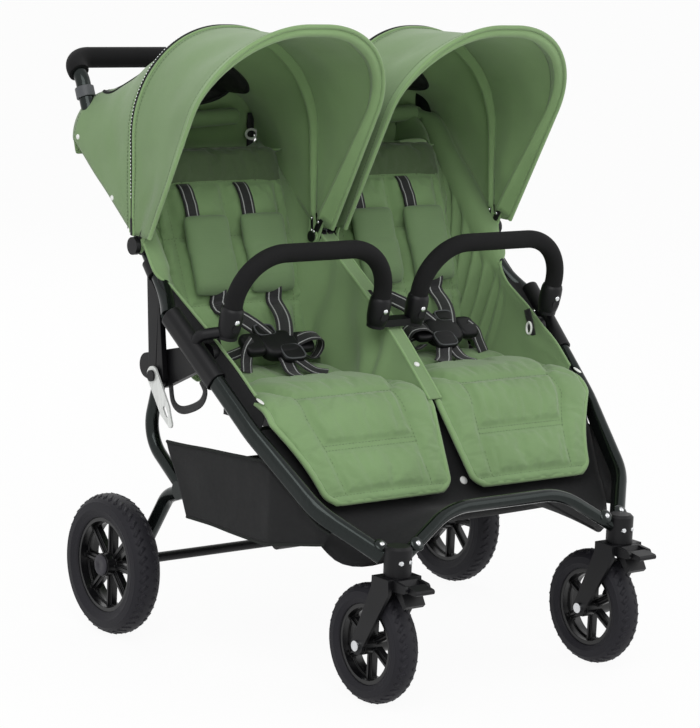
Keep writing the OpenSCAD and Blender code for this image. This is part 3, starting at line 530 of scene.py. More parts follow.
def keep_result(obj: Object) -> None:
    """Turns the modifiers' result into the object's own mesh."""
    graph = bpy.context.evaluated_depsgraph_get()
    made = bpy.data.meshes.new_from_object(obj.evaluated_get(graph), depsgraph=graph)
    obj.modifiers.clear()
    obj.data = made


def ripple(p: Vector, size: float, seed: float) -> float:
    """Smooth noise from about -1 to 1 at a point, with waves of one size."""
    return noise.noise(p / size + Vector((seed, seed * 0.7, -seed)))


class Tree(NodeTree):
    """A geometry node tree with named sizes, run on a seed mesh and kept as a plain mesh."""

    def __init__(self, name: str, *sizes: str) -> None:
        """Starts the tree with its named sizes."""
        self.group = bpy.data.node_groups.new(name, "GeometryNodeTree")
        super().__init__(self.group)
        sockets = self.group.interface
        sockets.new_socket("Seed", in_out="INPUT", socket_type="NodeSocketGeometry")
        for size in sizes:
            sockets.new_socket(size, in_out="INPUT", socket_type="NodeSocketFloat")
        sockets.new_socket("Finish", in_out="INPUT", socket_type="NodeSocketMaterial")
        sockets.new_socket("Result", in_out="OUTPUT", socket_type="NodeSocketGeometry")
        self.given = self.nodes.new("NodeGroupInput").outputs

    def vector(self, *parts: Socket | float) -> Socket:
        """Three numbers as one vector."""
        return self.add("ShaderNodeCombineXYZ", dict(enumerate(parts))).outputs[0]

    def half(self, size: str) -> Socket:
        """Half of a named size."""
        return self.add("ShaderNodeMath", {0: self.given[size], 1: 0.5}, operation="MULTIPLY").outputs[0]

    def close(self, shape: Socket) -> None:
        """Ends the tree with real geometry in its finish."""
        real = self.add("GeometryNodeRealizeInstances", {"Geometry": shape}).outputs[0]
        even = self.add("GeometryNodeSetShadeSmooth", {"Geometry": real}).outputs[0]
        values = {"Geometry": even, "Material": self.given["Finish"]}
        done = self.add("GeometryNodeSetMaterial", values).outputs[0]
        self.add("NodeGroupOutput", {0: done})

    def run(self, seed: Object, finish: Material, **sizes: float) -> Object:
        """Grows the tree on a seed mesh.

        Args:
            seed: The mesh that the tree reads, which becomes the result.
            finish: The material of the result.
            **sizes: The tree's sizes by name.

        Returns:
            The seed's object, with the result as its own mesh.
        """
        mod = seed.modifiers.new("rule", "NODES")
        mod.node_group = self.group
        for item in self.group.interface.items_tree:
            if item.in_out == "INPUT" and item.name in sizes:
                mod[item.identifier] = sizes[item.name]
            elif item.name == "Finish":
                mod[item.identifier] = finish
        keep_result(seed)
        return seed


class Rules:
    """The trees that make cords, stitches, studs and tread blocks."""

    def __init__(self) -> None:
        """Builds the four trees."""
        self.cord = self.cord_tree()
        self.stitch = self.stitch_tree()
        self.stud = self.placed_tree("studs_on_points", "GeometryNodeMeshUVSphere", {"Segments": 14, "Rings": 8})
        self.block = self.placed_tree("blocks_on_points", "GeometryNodeMeshCube", {"Size": (2, 2, 2)})

    @staticmethod
    def cord_tree() -> Tree:
        """A round cord along each line of the seed."""
        tree = Tree("cord_on_lines", "Radius")
        line = tree.add("GeometryNodeMeshToCurve", {"Mesh": tree.given["Seed"]}).outputs[0]
        ring = tree.add("GeometryNodeCurvePrimitiveCircle", {"Resolution": 8, "Radius": tree.given["Radius"]})
        values = {"Curve": line, "Profile Curve": ring.outputs[0], "Fill Caps": True}
        tree.close(tree.add("GeometryNodeCurveToMesh", values).outputs[0])
        return tree

    @staticmethod
    def stitch_tree() -> Tree:
        """A row of short stitches along each line of the seed."""
        tree = Tree("stitches_on_lines", "Pitch", "Length", "Width")
        line = tree.add("GeometryNodeMeshToCurve", {"Mesh": tree.given["Seed"]}).outputs[0]
        spots = tree.add("GeometryNodeCurveToPoints", {"Curve": line, "Length": tree.given["Pitch"]}, mode="LENGTH")
        ball = tree.add("GeometryNodeMeshUVSphere", {"Segments": 6, "Rings": 4, "Radius": 1.0}).outputs[0]
        size = tree.vector(tree.half("Width"), tree.half("Width"), tree.half("Length"))
        stitch = tree.add("GeometryNodeTransform", {"Geometry": ball, "Scale": size}).outputs[0]
        values = {"Points": spots.outputs["Points"], "Instance": stitch, "Rotation": spots.outputs["Rotation"]}
        tree.close(tree.add("GeometryNodeInstanceOnPoints", values).outputs[0])
        return tree

    @staticmethod
    def placed_tree(name: str, shape: str, values: dict) -> Tree:
        """A shape on each point of the seed, turned to the point's facing and run."""
        tree = Tree(name, "Length", "Width", "Height")
        solid = tree.add(shape, values).outputs[0]
        size = tree.vector(tree.half("Length"), tree.half("Width"), tree.half("Height"))
        piece = tree.add("GeometryNodeTransform", {"Geometry": solid, "Scale": size}).outputs[0]
        facing = tree.add("GeometryNodeInputNamedAttribute", {"Name": "facing"}, data_type="FLOAT_VECTOR")
        run = tree.add("GeometryNodeInputNamedAttribute", {"Name": "run"}, data_type="FLOAT_VECTOR")
        axes = {0: facing.outputs[0], 1: run.outputs[0]}
        turn = tree.add("FunctionNodeAxesToRotation", axes, primary_axis="Z", secondary_axis="X").outputs[0]
        values = {"Points": tree.given["Seed"], "Instance": piece, "Rotation": turn}
        tree.close(tree.add("GeometryNodeInstanceOnPoints", values).outputs[0])
        return tree


def lines_seed(name: str, lines: Sequence[Sequence[Vector]]) -> Object:
    """A seed mesh of open lines."""
    verts: list[Vector] = []
    edges: list[tuple[int, int]] = []
    for line in lines:
        edges += [(len(verts) + k, len(verts) + k + 1) for k in range(len(line) - 1)]
        verts += line
    return new_object(name, verts, edges, [])


def points_seed(name: str, spots: Sequence[tuple[Vector, Vector, Vector]]) -> Object:
    """A seed mesh of points, each with the way that it faces and the way that it runs."""
    seed = new_object(name, [s[0] for s in spots], [], [])
    for key, column in (("facing", 1), ("run", 2)):
        attribute = seed.data.attributes.new(key, "FLOAT_VECTOR", "POINT")
        attribute.data.foreach_set("vector", [c for s in spots for c in s[column]])
    return seed


@dataclass(frozen=True)
class Swell:
    """How a pad is blown up: its mesh, its pressure, its cover's slack, the most that it moves and the cloth run."""

    voxel: float = 0.005
    pressure: float = 5.0
    slack: float = 0.035
    cap: float = 0.009
    mass: float = 0.25
    quality: int = 5
    frames: int = 20

    def remesh(self, obj: Object) -> None:
        """Gives a pad an even mesh."""
        mod = obj.modifiers.new("voxels", "REMESH")
        mod.mode = "VOXEL"
        mod.voxel_size = self.voxel
        self.keep(obj)

    def apply(self, obj: Object, held: Callable[[np.ndarray], np.ndarray]) -> None:
        """Remeshes a pad and blows it up by a cloth run.

        Args:
            obj: The closed pad, which keeps the result.
            held: Gives each point's hold, 1 where a seam or the underside keeps it.
        """
        self.remesh(obj)
        rest = self.points(obj)
        group = obj.vertex_groups.new(name="sewn")
        for k, share in enumerate(held(rest)):
            group.add([k], float(share), "REPLACE")
        cloth = obj.modifiers.new("cover", "CLOTH")
        cloth.settings.vertex_group_mass = "sewn"
        cloth.settings.use_pressure = True
        cloth.settings.uniform_pressure_force = self.pressure
        cloth.settings.shrink_min = -self.slack
        cloth.settings.effector_weights.gravity = 0.0
        cloth.settings.mass = self.mass
        cloth.settings.quality = self.quality
        cloth.collision_settings.use_collision = False
        cloth.point_cache.frame_start = 1
        cloth.point_cache.frame_end = self.frames
        scene = bpy.context.scene
        for k in range(1, self.frames + 1):
            scene.frame_set(k)
        self.keep(obj)
        scene.frame_set(1)
        moved = self.points(obj) - rest
        far = np.linalg.norm(moved, axis=1, keepdims=True)
        moved *= np.minimum(1.0, self.cap / np.maximum(far, 1e-9))
        obj.data.vertices.foreach_set("co", (rest + moved).astype(np.float32).ravel())
        obj.data.update()

    @staticmethod
    def points(obj: Object) -> np.ndarray:
        """The points of a mesh as rows."""
        co = np.zeros(len(obj.data.vertices) * 3, np.float32)
        obj.data.vertices.foreach_get("co", co)
        return co.reshape(-1, 3).astype(float)

    @staticmethod
    def keep(obj: Object) -> None:
        """Keeps the modifiers' result, smooth all over."""
        keep_result(obj)
        obj.data.shade_smooth()


@dataclass(frozen=True)
class Span:
    """Two bodies that share a cloth, and where it leaves the first and reaches the second."""

    first: str
    second: str
    start: Vector
    end: Vector


class Dresser:
    """Hands finished pieces to the frame and logs each one."""

    STITCH = {"Pitch": 0.0062, "Length": 0.0044, "Width": 0.0011}

    def __init__(self, looks: Looks, rules: Rules) -> None:
        """Keeps the finishes and the trees that the sub-assemblies share."""
        self.looks = looks
        self.rules = rules

    def ride(self, obj: Object, body: str, slot: str, *nodes: str) -> Object:
        """Lets a piece move with a body, in place of nodes.

        Args:
            obj: The finished piece.
            body: The body that carries it.
            slot: Not used.
            *nodes: The nodes that it stands for.

        Returns:
            The piece.
        """
        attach(obj, body)
        return self.tag(obj, slot, *nodes)

    def bend(self, obj: Object, span: Span, slot: str, *nodes: str) -> Object:
        """Bakes a cloth's placing into its mesh, in place of nodes."""
        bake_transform(obj)
        return self.tag(obj, slot, *nodes)

    @staticmethod
    def tag(obj: Object, slot: str, *nodes: str) -> Object:
        """Hides the nodes that a piece stands for and logs its name and face count."""
        if nodes:
            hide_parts(*nodes)
        LOG.info("%s: %d faces", obj.name, len(obj.data.polygons))
        return obj

    @staticmethod
    def cloth(name: str, rows: Grid, flip: bool, finishes: Sequence[Material], thick: float, held: str,
              *rests_on: str) -> Object:
        """Makes a sheet over a grid with its thickness, and works out its longest row and column.

        Args:
            name: The piece's name.
            rows: The points of its middle face.
            flip: Whether its outer face is the grid's other one.
            finishes: Its finish, and a second one inside where it is lined.
            thick: Its thickness.
            held: Not used.
            *rests_on: Not used.

        Returns:
            The sheet.
        """
        obj = grid_object(name, rows, flip, *finishes)
        thicken(obj, thick, lined=len(finishes) > 1)
        long = max(run_lengths(row)[-1] for row in rows)
        wide = max(run_lengths(column)[-1] for column in zip(*rows))
        return obj

    def cords(self, name: str, lines: Sequence[Sequence[Vector]], radius: float, finish: Material) -> Object:
        """Piping along lines, as one piece."""
        return self.rules.cord.run(lines_seed(name, lines), finish, Radius=radius)

    def stitches(self, name: str, lines: Sequence[Sequence[Vector]], finish: Material) -> Object:
        """Rows of stitches along lines, as one piece."""
        return self.rules.stitch.run(lines_seed(name, lines), finish, **self.STITCH)

    def studs(self, name: str, spots: Sequence, wide: float, high: float, finish: Material) -> Object:
        """Rivet or snap heads on points, as one piece."""
        return self.rules.stud.run(points_seed(name, spots), finish, Length=wide, Width=wide, Height=high)


def arch_spot(half: float, height: float, radius: float, u: float) -> tuple[float, float]:
    """Place on a hoop with straight legs and round shoulders.

    Args:
        half: Half of its width.
        height: Its height.
        radius: Its shoulder radius.
        u: The share of the way round it.

    Returns:
        X from its middle, and height.
    """
    leg = height - radius
    arc = math.pi / 2 * radius
    far = min(u, 1 - u) * 2 * (leg + arc + half - radius)
    if far < leg:
        x, up = half, far
    elif far < leg + arc:
        turn = (far - leg) / radius
        x = half - radius + radius * math.cos(turn)
        up = leg + radius * math.sin(turn)
    else:
        x, up = half - radius - (far - leg - arc), height
    return math.copysign(x, u - 0.5), up


@dataclass(frozen=True)
class Hoop:
    """An arch of a hood: its feet, its lean in degrees, its height, its shoulder radius and its bow's drop."""

    foot: YZ
    lean: float
    height: float
    radius: float
    bow_drop: float = 0.0

    @property
    def up(self) -> YZ:
        """The way that it stands."""
        tilt = math.radians(self.lean)
        return -math.sin(tilt), math.cos(tilt)


@dataclass
class Hood:
    """One folding hood: rear and front cloth, bow sleeves, zip seam, hem, window and snaps."""

    side: Side
    dresser: Dresser
    centre_x: float = 0.191
    half: float = 0.1775
    pivot: YZ = (0.156, 0.640)
    heart: YZ = (0.16, 0.70)
    front: Hoop = Hoop((0.116, 0.6555), 28.0, 0.384, 0.162, bow_drop=0.006)
    middle: Hoop = Hoop((0.160, 0.656), -4.0, 0.323, 0.172)
    rear: Hoop = Hoop((0.344, 0.791), 0.0, 0.075, 0.072)
    tip_reach: tuple = (0.074, 0.106)
    tail_y: tuple = (0.170, 0.344)
    wall_low: float = 0.765
    bulge: tuple = (-0.009, 0.006)
    bulge_in: float = 0.0015
    waves: tuple = (0.0042, 0.0034)
    cloth: float = 0.003
    bow_under: float = 0.0062
    bow_ease: float = 0.003
    bow_start: float = 0.017
    sleeve: float = 0.0062
    sleeve_cloth: float = 0.0012
    tuck: float = 0.0016
    cord_lift: float = 0.0018
    stitch_lift: float = 0.0022
    window: tuple = (0.28, 0.10, 0.36)
    around: int = 97
    deep: int = 25
    hem_rows: int = 2

    def __post_init__(self) -> None:
        """Sets the spans of the hood's front and rear cloths."""
        body = f"{self.side.word}_hood_middle"
        lean = math.radians((self.front.lean + self.middle.lean) / 2)
        ahead = Vector((0, -math.cos(lean), -math.sin(lean)))
        hub = Vector((0, *self.pivot))
        behind, before = self.tip_reach
        self.tip = Span(body, f"{self.side.word}_hood_tip", hub - ahead * behind, hub + ahead * before)
        self.tail = Span(body, "handle_frame", *(Vector((0, y, 0.8)) for y in self.tail_y))

    def arch(self, hoop: Hoop, u: float) -> Vector:
        """A point of a hoop on the right side, at the share u from its inner foot."""
        x, rise = arch_spot(self.half, hoop.height, hoop.radius, u)
        y, z = (foot + up * rise for foot, up in zip(hoop.foot, hoop.up))
        return Vector((self.centre_x + x, y, z))

    def between(self, one: Hoop, two: Hoop, u: float, f: float, bulge: float) -> Vector:
        """A point of the cloth stretched from one hoop to the next, a little blown out."""
        p = mix(self.arch(one, u), self.arch(two, u), f)
        way = Vector(((p.x - self.centre_x) * 0.2, 0.0, max(0.0, p.z - 0.7)))
        inner = clamp((p.x - self.centre_x + self.half) / 0.06)
        hold = smooth(min(u, 1 - u) / 0.14)
        return p + way.normalized() * mix(self.bulge_in, bulge, inner) * 4 * f * (1 - f) * hold

    def front_point(self, u: float, f: float) -> Vector:
        """A point of the front cloth with its soft waves."""
        p = self.between(self.middle, self.front, u, f, self.bulge[0])
        out = (p - Vector((self.centre_x, 0.15, 0.70))).normalized()
        wave = ripple(Vector((u * 1.6, f * 0.35, 0.3)), 0.11, 3.0 + self.side.value)
        return self.side.at(*(p + out * self.waves[0] * wave * math.sin(math.pi * f) ** 0.8))

    def rear_point(self, u: float, f: float) -> Vector:
        """A point of the rear cloth: the back wall below f 0, then the slope to the middle seam."""
        if f < 0:
            top = self.arch(self.rear, u)
            low = mix(top.z - 0.004, self.wall_low, smooth((1 - u) / 0.08))
            return self.side.at(top.x, top.y, mix(top.z, low, -f))
        p = self.between(self.rear, self.middle, u, f, self.bulge[1])
        out = (p - Vector((self.centre_x, 0.2, 0.68))).normalized()
        wave = ripple(Vector((u * 1.4, f * 0.5, 0.8)), 0.13, 7.0 + self.side.value)
        return self.side.at(*(p + out * self.waves[1] * wave * math.sin(math.pi * clamp(f)) ** 0.8))

    def lifted(self, p: Vector, by: float) -> Vector:
        """A point of the cloth, moved out from the middle of the hood."""
        return p + (p - self.side.at(self.centre_x, *self.heart)).normalized() * by

    def line(self, point: Callable, f: float, lift: float) -> list[Vector]:
        """A line round the hood at one share of a cloth, lifted off it."""
        return [self.lifted(point(u, f), lift) for u in steps(161)]

    def bow_line(self, hoop: Hoop) -> list[Vector]:
        """The middle line of the bow under a hoop, from above one eye to above the other."""
        hub = Vector(self.pivot)
        crown = Vector(hoop.foot) + Vector(hoop.up) * (hoop.height - hoop.bow_drop)
        up = (crown - hub).normalized()
        reach = (crown - hub).length - self.bow_under
        turn = hoop.radius - self.bow_under + self.bow_ease
        half = self.half - self.bow_under
        start = self.bow_start / (reach + half - 0.43 * turn)
        line = []
        for f in steps(90):
            x, rise = arch_spot(half, reach, turn, mix(start, 1 - start, f))
            spot = hub + up * rise
            line.append(self.side.at(self.centre_x + x, spot.x, spot.y))
        return line

    def channel(self, label: str, hoop: Hoop, ahead: Callable, behind: Callable) -> Object:
        """The sleeve that holds a bow.

        Args:
            label: The bow's word.
            hoop: The arch over the bow.
            ahead: Gives the cloth's point before the bow at a share round the hood.
            behind: Gives the cloth's point behind it.

        Returns:
            The sleeve, from the cloth before the bow, under it, to the cloth behind it.
        """
        spots = [(u, self.side.at(*self.arch(hoop, u))) for u in steps(241)]
        rows = []
        for b in self.bow_line(hoop):
            u = min(spots, key=lambda spot: (spot[1] - b).length)[0]
            one, two = (self.lifted(point(u), -self.tuck) for point in (ahead, behind))
            across = (one - two).normalized() * self.sleeve
            low = self.lifted(b, -0.35 * self.sleeve)
            rows.append(curve_through([one, low + across, self.lifted(b, -self.sleeve), low - across, two], 13))
        word = self.side.word
        return self.dresser.cloth(f"{word}_{label}_sleeve", rows, False, (self.dresser.looks.lining,),
                                  self.sleeve_cloth, "stretched", f"{word}_{label}_bow")

    def build(self) -> None:
        """Makes and dresses the hood."""
        word = self.side.word
        looks = self.dresser.looks
        flip = self.side is Side.RIGHT
        rows = [[self.front_point(u, f) for f in steps(self.deep)] for u in steps(self.around)]
        finishes = [looks.green, looks.lining, looks.hem, looks.lining]
        front = self.dresser.cloth(f"{word}_hood_front_cloth", rows, flip, finishes, self.cloth, "stretched",
                                   f"{word}_middle_bow", f"{word}_front_bow")
        for face in front.data.polygons:
            if face.index % (self.deep - 1) >= self.deep - 1 - self.hem_rows:
                face.material_index = finishes.index(looks.hem)
        self.dresser.bend(front, self.tip, "green_cloth", f"{word}_hood_front")
        shares = [-1, -0.66, -0.33] + steps(self.deep - 3)
        rows = [[self.rear_point(u, f) for f in shares] for u in steps(self.around)]
        back = self.dresser.cloth(f"{word}_hood_rear_cloth", rows, flip, (looks.green, looks.lining), self.cloth,
                                  "stretched", f"{word}_middle_bow", "back_frame")
        self.dresser.bend(back, self.tail, "green_cloth", f"{word}_hood_rear")
        self.add_seams()
        self.add_window()
        self.add_lining()
        self.add_brackets()
        self.add_small_parts()

    def add_seams(self) -> None:
        """Adds the zip seam, the bow sleeves, the front hem and the rows of stitches."""
        word = self.side.word
        looks = self.dresser.looks
        dresser = self.dresser
        front, rear = self.front_point, self.rear_point
        body = f"{word}_hood_middle"
        lines = [self.line(front, 0.030, self.cord_lift), self.line(rear, 0.968, self.cord_lift)]
        dresser.ride(dresser.cords(f"{word}_hood_seam_cords", lines, 0.0026, looks.piping), body, "green_cloth")
        tape = self.line(front, 0.0, 0.0012)
        dresser.ride(dresser.cords(f"{word}_hood_zip", [tape], 0.0034, looks.zip), body, "black_cloth")
        teeth = lines_seed(f"{word}_zip_teeth", [self.line(front, 0.0, 0.0046)[96:150]])
        teeth = dresser.rules.stitch.run(teeth, looks.steel, Pitch=0.0056, Length=0.003, Width=0.0018)
        dresser.ride(teeth, body, "silver_metal")
        sleeve = self.channel("middle", self.middle, lambda u: front(u, 0.06), lambda u: rear(u, 0.945))
        dresser.ride(sleeve, body, "green_cloth")
        sleeve = self.channel("front", self.front, lambda u: front(u, 0.998), lambda u: front(u, 0.85))
        dresser.bend(sleeve, self.tip, "green_cloth")
        hem = dresser.cords(f"{word}_hood_hem", [self.line(front, 1.0, 0.0)], 0.0036, looks.piping)
        dresser.bend(hem, self.tip, "green_cloth")
        for label, point, shares, span in (("front", front, (0.07, 0.905), self.tip),
                                           ("rear", rear, (0.03, 0.92), self.tail)):
            rows = [self.line(point, f, self.stitch_lift) for f in shares]
            sewn = dresser.stitches(f"{word}_hood_{label}_stitches", rows, looks.thread)
            dresser.bend(sewn, span, "green_cloth")

    def add_window(self) -> None:
        """Adds the net window in the rear cloth, its binding and the rolled flap under it."""
        word = self.side.word
        looks = self.dresser.looks
        half_u, mid_f, half_f = self.window
        outline = soft_loop(60, 0.85, 0.85)
        rows = [[self.rear_point(0.5 + half_u * r * x, mid_f + half_f * r * y) for x, y in outline + outline[:1]]
                for r in (0.02, 0.2, 0.4, 0.6, 0.8, 1.0)]
        net = self.dresser.cloth(f"{word}_hood_window", rows, False, (looks.net,), self.cloth + 0.0018, "stretched",
                                 f"{word}_hood_rear")
        self.dresser.bend(net, self.tail, "black_cloth")
        binding = self.dresser.cords(f"{word}_window_binding", [rows[-1]], 0.0036, looks.zip)
        self.dresser.bend(binding, self.tail, "black_cloth")
        inward = Vector((0, -0.018, 0))
        path = [self.rear_point(mix(0.21, 0.79, f), -0.42 - 0.06 * math.sin(math.pi * f)) + inward for f in steps(40)]
        roll = tube_object(f"{word}_window_roll", path, 0.0145, looks.pad, 16)
        subdivide(roll)
        self.dresser.ride(roll, "handle_frame", "green_cloth")

    def add_lining(self) -> None:
        """Adds the cloth between the seat back's top and the hood's back wall."""
        word = self.side.word
        looks = self.dresser.looks
        rows = []
        for u in steps(41):
            x = mix(0.026, 0.300, u)
            dip = 0.010 + 0.003 * ripple(Vector((u, 0, 0)), 0.14, 6.0)
            rows.append([self.side.at(x, mix(0.341, 0.247, v), 0.769 + 0.005 * v - dip * math.sin(math.pi * v))
                         for v in steps(13)])
        cloth = self.dresser.cloth(f"{word}_back_lining", rows, self.side is Side.RIGHT, (looks.lining,), 0.002,
                                   "hung", f"{word}_hood_rear", f"{word}_back_pad")
        span = Span("handle_frame", f"{word}_back", Vector((0, 0.335, 0.77)), Vector((0, 0.252, 0.77)))
        self.dresser.bend(cloth, span, "green_cloth")

    def add_brackets(self) -> None:
        """Adds the black feet of the bows, with their rivets."""
        word = self.side.word
        looks = self.dresser.looks
        hub = Vector((0, *self.pivot))
        for hoop, body in ((self.middle, "middle"), (self.front, "tip")):
            line = self.bow_line(hoop)
            legs, spots = [], []
            for end in (line[0], line[-1]):
                foot = self.side.at(end.x * self.side.value, hub.y, hub.z)
                up = (end - foot).normalized()
                legs.append([foot + up * 0.002, foot + up * 0.038])
                face = Vector((math.copysign(1.0, self.side.value * self.centre_x - foot.x), 0, 0))
                spots += [(foot + up * s + face * 0.0052, face, up) for s in (0.010, 0.030)]
            feet = self.dresser.cords(f"{word}_{body}_bow_feet", legs, 0.0054, looks.plastic)
            self.dresser.ride(feet, f"{word}_hood_{body}", "black_plastic")
            rivets = self.dresser.studs(f"{word}_{body}_bow_rivets", spots, 0.006, 0.004, looks.steel)
            self.dresser.ride(rivets, f"{word}_hood_{body}", "silver_metal")

    def add_small_parts(self) -> None:
        """Adds the snaps on the outer face, the zip pull and the small strap with its ring inside."""
        word = self.side.word
        looks = self.dresser.looks
        out = Vector((self.side.value, 0, 0))
        run = Vector((0, 1, 0))
        spots = [(self.rear_point(u, f) + out * 0.0016, out, run) for u, f in ((0.972, 0.08), (0.992, 0.66))]
        snaps = self.dresser.studs(f"{word}_hood_snaps", spots, 0.009, 0.004, looks.snap)
        self.dresser.bend(snaps, self.tail, "silver_metal")
        top = self.lifted(self.front_point(0.968, 0.0), 0.005)
        pull = [top, top + Vector((0, -0.001, -0.012)), top + Vector((0, -0.002, -0.026))]
        tag = strap_object(f"{word}_zip_pull", curve_through(pull, 12), out, 0.006, 0.002, looks.plain_webbing)
        self.dresser.ride(tag, f"{word}_hood_middle", "black_cloth")
        inward = Vector((0, -0.006, 0))
        line = [self.rear_point(0.1, f) + inward for f in (-0.1, -0.4, -0.7, -1.0)]
        strap = strap_object(f"{word}_lining_strap", curve_through(line, 14), Vector((0, -1, 0)), 0.014, 0.002,
                             looks.plain_webbing)
        self.dresser.ride(strap, "handle_frame", "black_cloth")
        mid = self.rear_point(0.1, -0.62) + Vector((0, -0.009, 0))
        ring = oval(mid, Vector((0.011, 0, 0)), Vector((0, 0, 0.008)))
        self.dresser.ride(self.dresser.cords(f"{word}_lining_ring", [ring], 0.0022, looks.snap), "handle_frame",
                          "silver_metal")


@dataclass
class Pad:
    """A quilted pad along a path in the side view, the base of the seat and back pads."""

    side: Side
    dresser: Dresser
    swell: Swell = Swell()
    shrink: float = 0.0025
    seam_wide: float = 0.0058
    seam_hold: float = 0.005
    loop: int = 48
    pitch: float = 0.004

    def path(self, s: float) -> tuple[Vector, Vector]:
        """The point and the outward direction at a run s, as Y and Z."""
        raise NotImplementedError

    def length(self) -> float:
        """The pad's whole run."""
        raise NotImplementedError

    def section(self, s: float) -> tuple[float, float, float]:
        """Middle X, half width and thickness at a run s."""
        raise NotImplementedError

    def seams(self) -> list[list[tuple[float, float]]]:
        """The sewn lines, each as runs and shares of the half width."""
        raise NotImplementedError

    def trim(self, obj: Object) -> None:
        """Gives parts of the finished pad another finish, where it has any."""

    def point(self, s: float, across: float, lift: float) -> Vector:
        """A point at a run, a share of the half width and a height over the middle."""
        spot, out = self.path(s)
        x, half, _ = self.section(s)
        spot = spot + out * lift
        return self.side.at(x + half * across, spot.x, spot.y)

    def round_end(self, s: float, r: float) -> float:
        """How full the pad is near its ends."""
        d = min(s, self.length() - s)
        return 1.0 if d >= r else math.sqrt(max(0.05, 1 - (1 - d / r) ** 2))

    def form(self) -> Grid:
        """Loops of the pad before it swells."""
        loops = []
        for f in steps(max(2, round(self.length() / self.pitch))):
            s = f * self.length()
            _, half, thick = self.section(s)
            thick -= 2 * self.shrink
            trim = 1 - self.shrink / half
            loops.append([self.point(s, trim * x, thick / 2 * z) for x, z in soft_loop(self.loop, 0.5, 0.62)])
        return loops if self.side is Side.RIGHT else loops[::-1]

    def locate(self, points: np.ndarray) -> tuple[np.ndarray, np.ndarray, np.ndarray]:
        """Runs, shares of the half width and heights of points of the pad."""
        runs = np.linspace(0, self.length(), 260)
        line = np.array([tuple(self.path(s)[0]) for s in runs])
        outs = np.array([tuple(self.path(s)[1]) for s in runs])
        parts = np.array([self.section(s)[:2] for s in runs])
        away = points[:, None, 1:] - line[None, :, :]
        near = np.argmin((away ** 2).sum(axis=2), axis=1)
        lift = (away[np.arange(len(points)), near] * outs[near]).sum(axis=1)
        across = (points[:, 0] * self.side.value - parts[near, 0]) / parts[near, 1]
        return runs[near], across, lift

    def seam_gap(self, points: np.ndarray) -> np.ndarray:
        """How far each point lies from the nearest sewn line, over the pad's face."""
        s, across, lift = self.locate(points)
        half = np.array([self.section(v)[1] for v in s])
        here = np.stack([s, across * half], axis=1)
        gap = np.full(len(points), 1.0)
        for line in self.seams():
            ends = np.array([(v, a * self.section(v)[1]) for v, a in line])
            for p, q in zip(ends[:-1], ends[1:]):
                d = q - p
                t = np.clip(((here - p) @ d) / max(float(d @ d), 1e-12), 0, 1)
                gap = np.minimum(gap, np.linalg.norm(here - p - t[:, None] * d, axis=1))
        gap[lift < 0] = 1.0
        return gap

    def held(self, points: np.ndarray) -> np.ndarray:
        """Hold of each point: the underside and the sewn lines stay."""
        _, _, lift = self.locate(points)
        hold = np.exp(-(self.seam_gap(points) / self.seam_hold) ** 2)
        hold[lift < 0] = 1.0
        return hold

    def carve(self, obj: Object, deep: float) -> None:
        """Draws the sewn lines into the pad's face."""
        points = Swell.points(obj)
        sink = deep * np.exp(-(self.seam_gap(points) / self.seam_wide) ** 2)
        normals = np.zeros(len(points) * 3, np.float32)
        obj.data.vertices.foreach_get("normal", normals)
        points -= normals.reshape(-1, 3) * sink[:, None]
        obj.data.vertices.foreach_set("co", points.astype(np.float32).ravel())
        obj.data.update()

    def settle(self, tree: BVHTree, s: float, across: float, lift: float) -> Vector:
        """A point on the finished pad's face over a run and a share of the half width."""
        far = self.point(s, across, 0.06)
        hit = tree.ray_cast(far, (self.point(s, across, 0.0) - far).normalized(), 0.12)
        _, out = self.path(s)
        base = hit[0] if hit[0] is not None else self.point(s, across, self.section(s)[2] / 2)
        return base + Vector((0, out.x, out.y)) * lift

    def make(self, name: str, body: str, node: str, deep: float) -> BVHTree:
        """Makes the pad, sews it and hands it over.

        Args:
            name: The piece's name.
            body: The body that carries it.
            node: The node that it stands for.
            deep: How deep its seams are drawn in.

        Returns:
            The finished face, for what lies on it.
        """
        looks = self.dresser.looks
        obj = loft_object(name, self.form(), looks.pad)
        self.swell.apply(obj, self.held)
        self.carve(obj, deep)
        self.trim(obj)
        tree = BVHTree.FromPolygons([v.co for v in obj.data.vertices], [p.vertices for p in obj.data.polygons])
        subdivide(obj)
        self.dresser.ride(obj, body, "green_cloth", node)
        rows = []
        for line in self.seams():
            ends = [Vector((s, a)) for s, a in line]
            count = 2 + round(run_lengths([Vector((e.x, e.y * 0.12)) for e in ends])[-1] / 0.006)
            places = [self.even(ends, f) for f in steps(count)]
            rows.append([self.settle(tree, p.x, p.y, 0.0003) for p in places])
        sewn = self.dresser.stitches(f"{name}_stitches", rows, looks.thread)
        self.dresser.ride(sewn, body, "green_cloth")
        return tree

    @staticmethod
    def even(ends: Sequence[Vector], f: float) -> Vector:
        """The point a share f along a line of straight runs."""
        last = len(ends) - 1
        i = min(int(f * last), last - 1)
        return mix(ends[i], ends[i + 1], f * last - i)


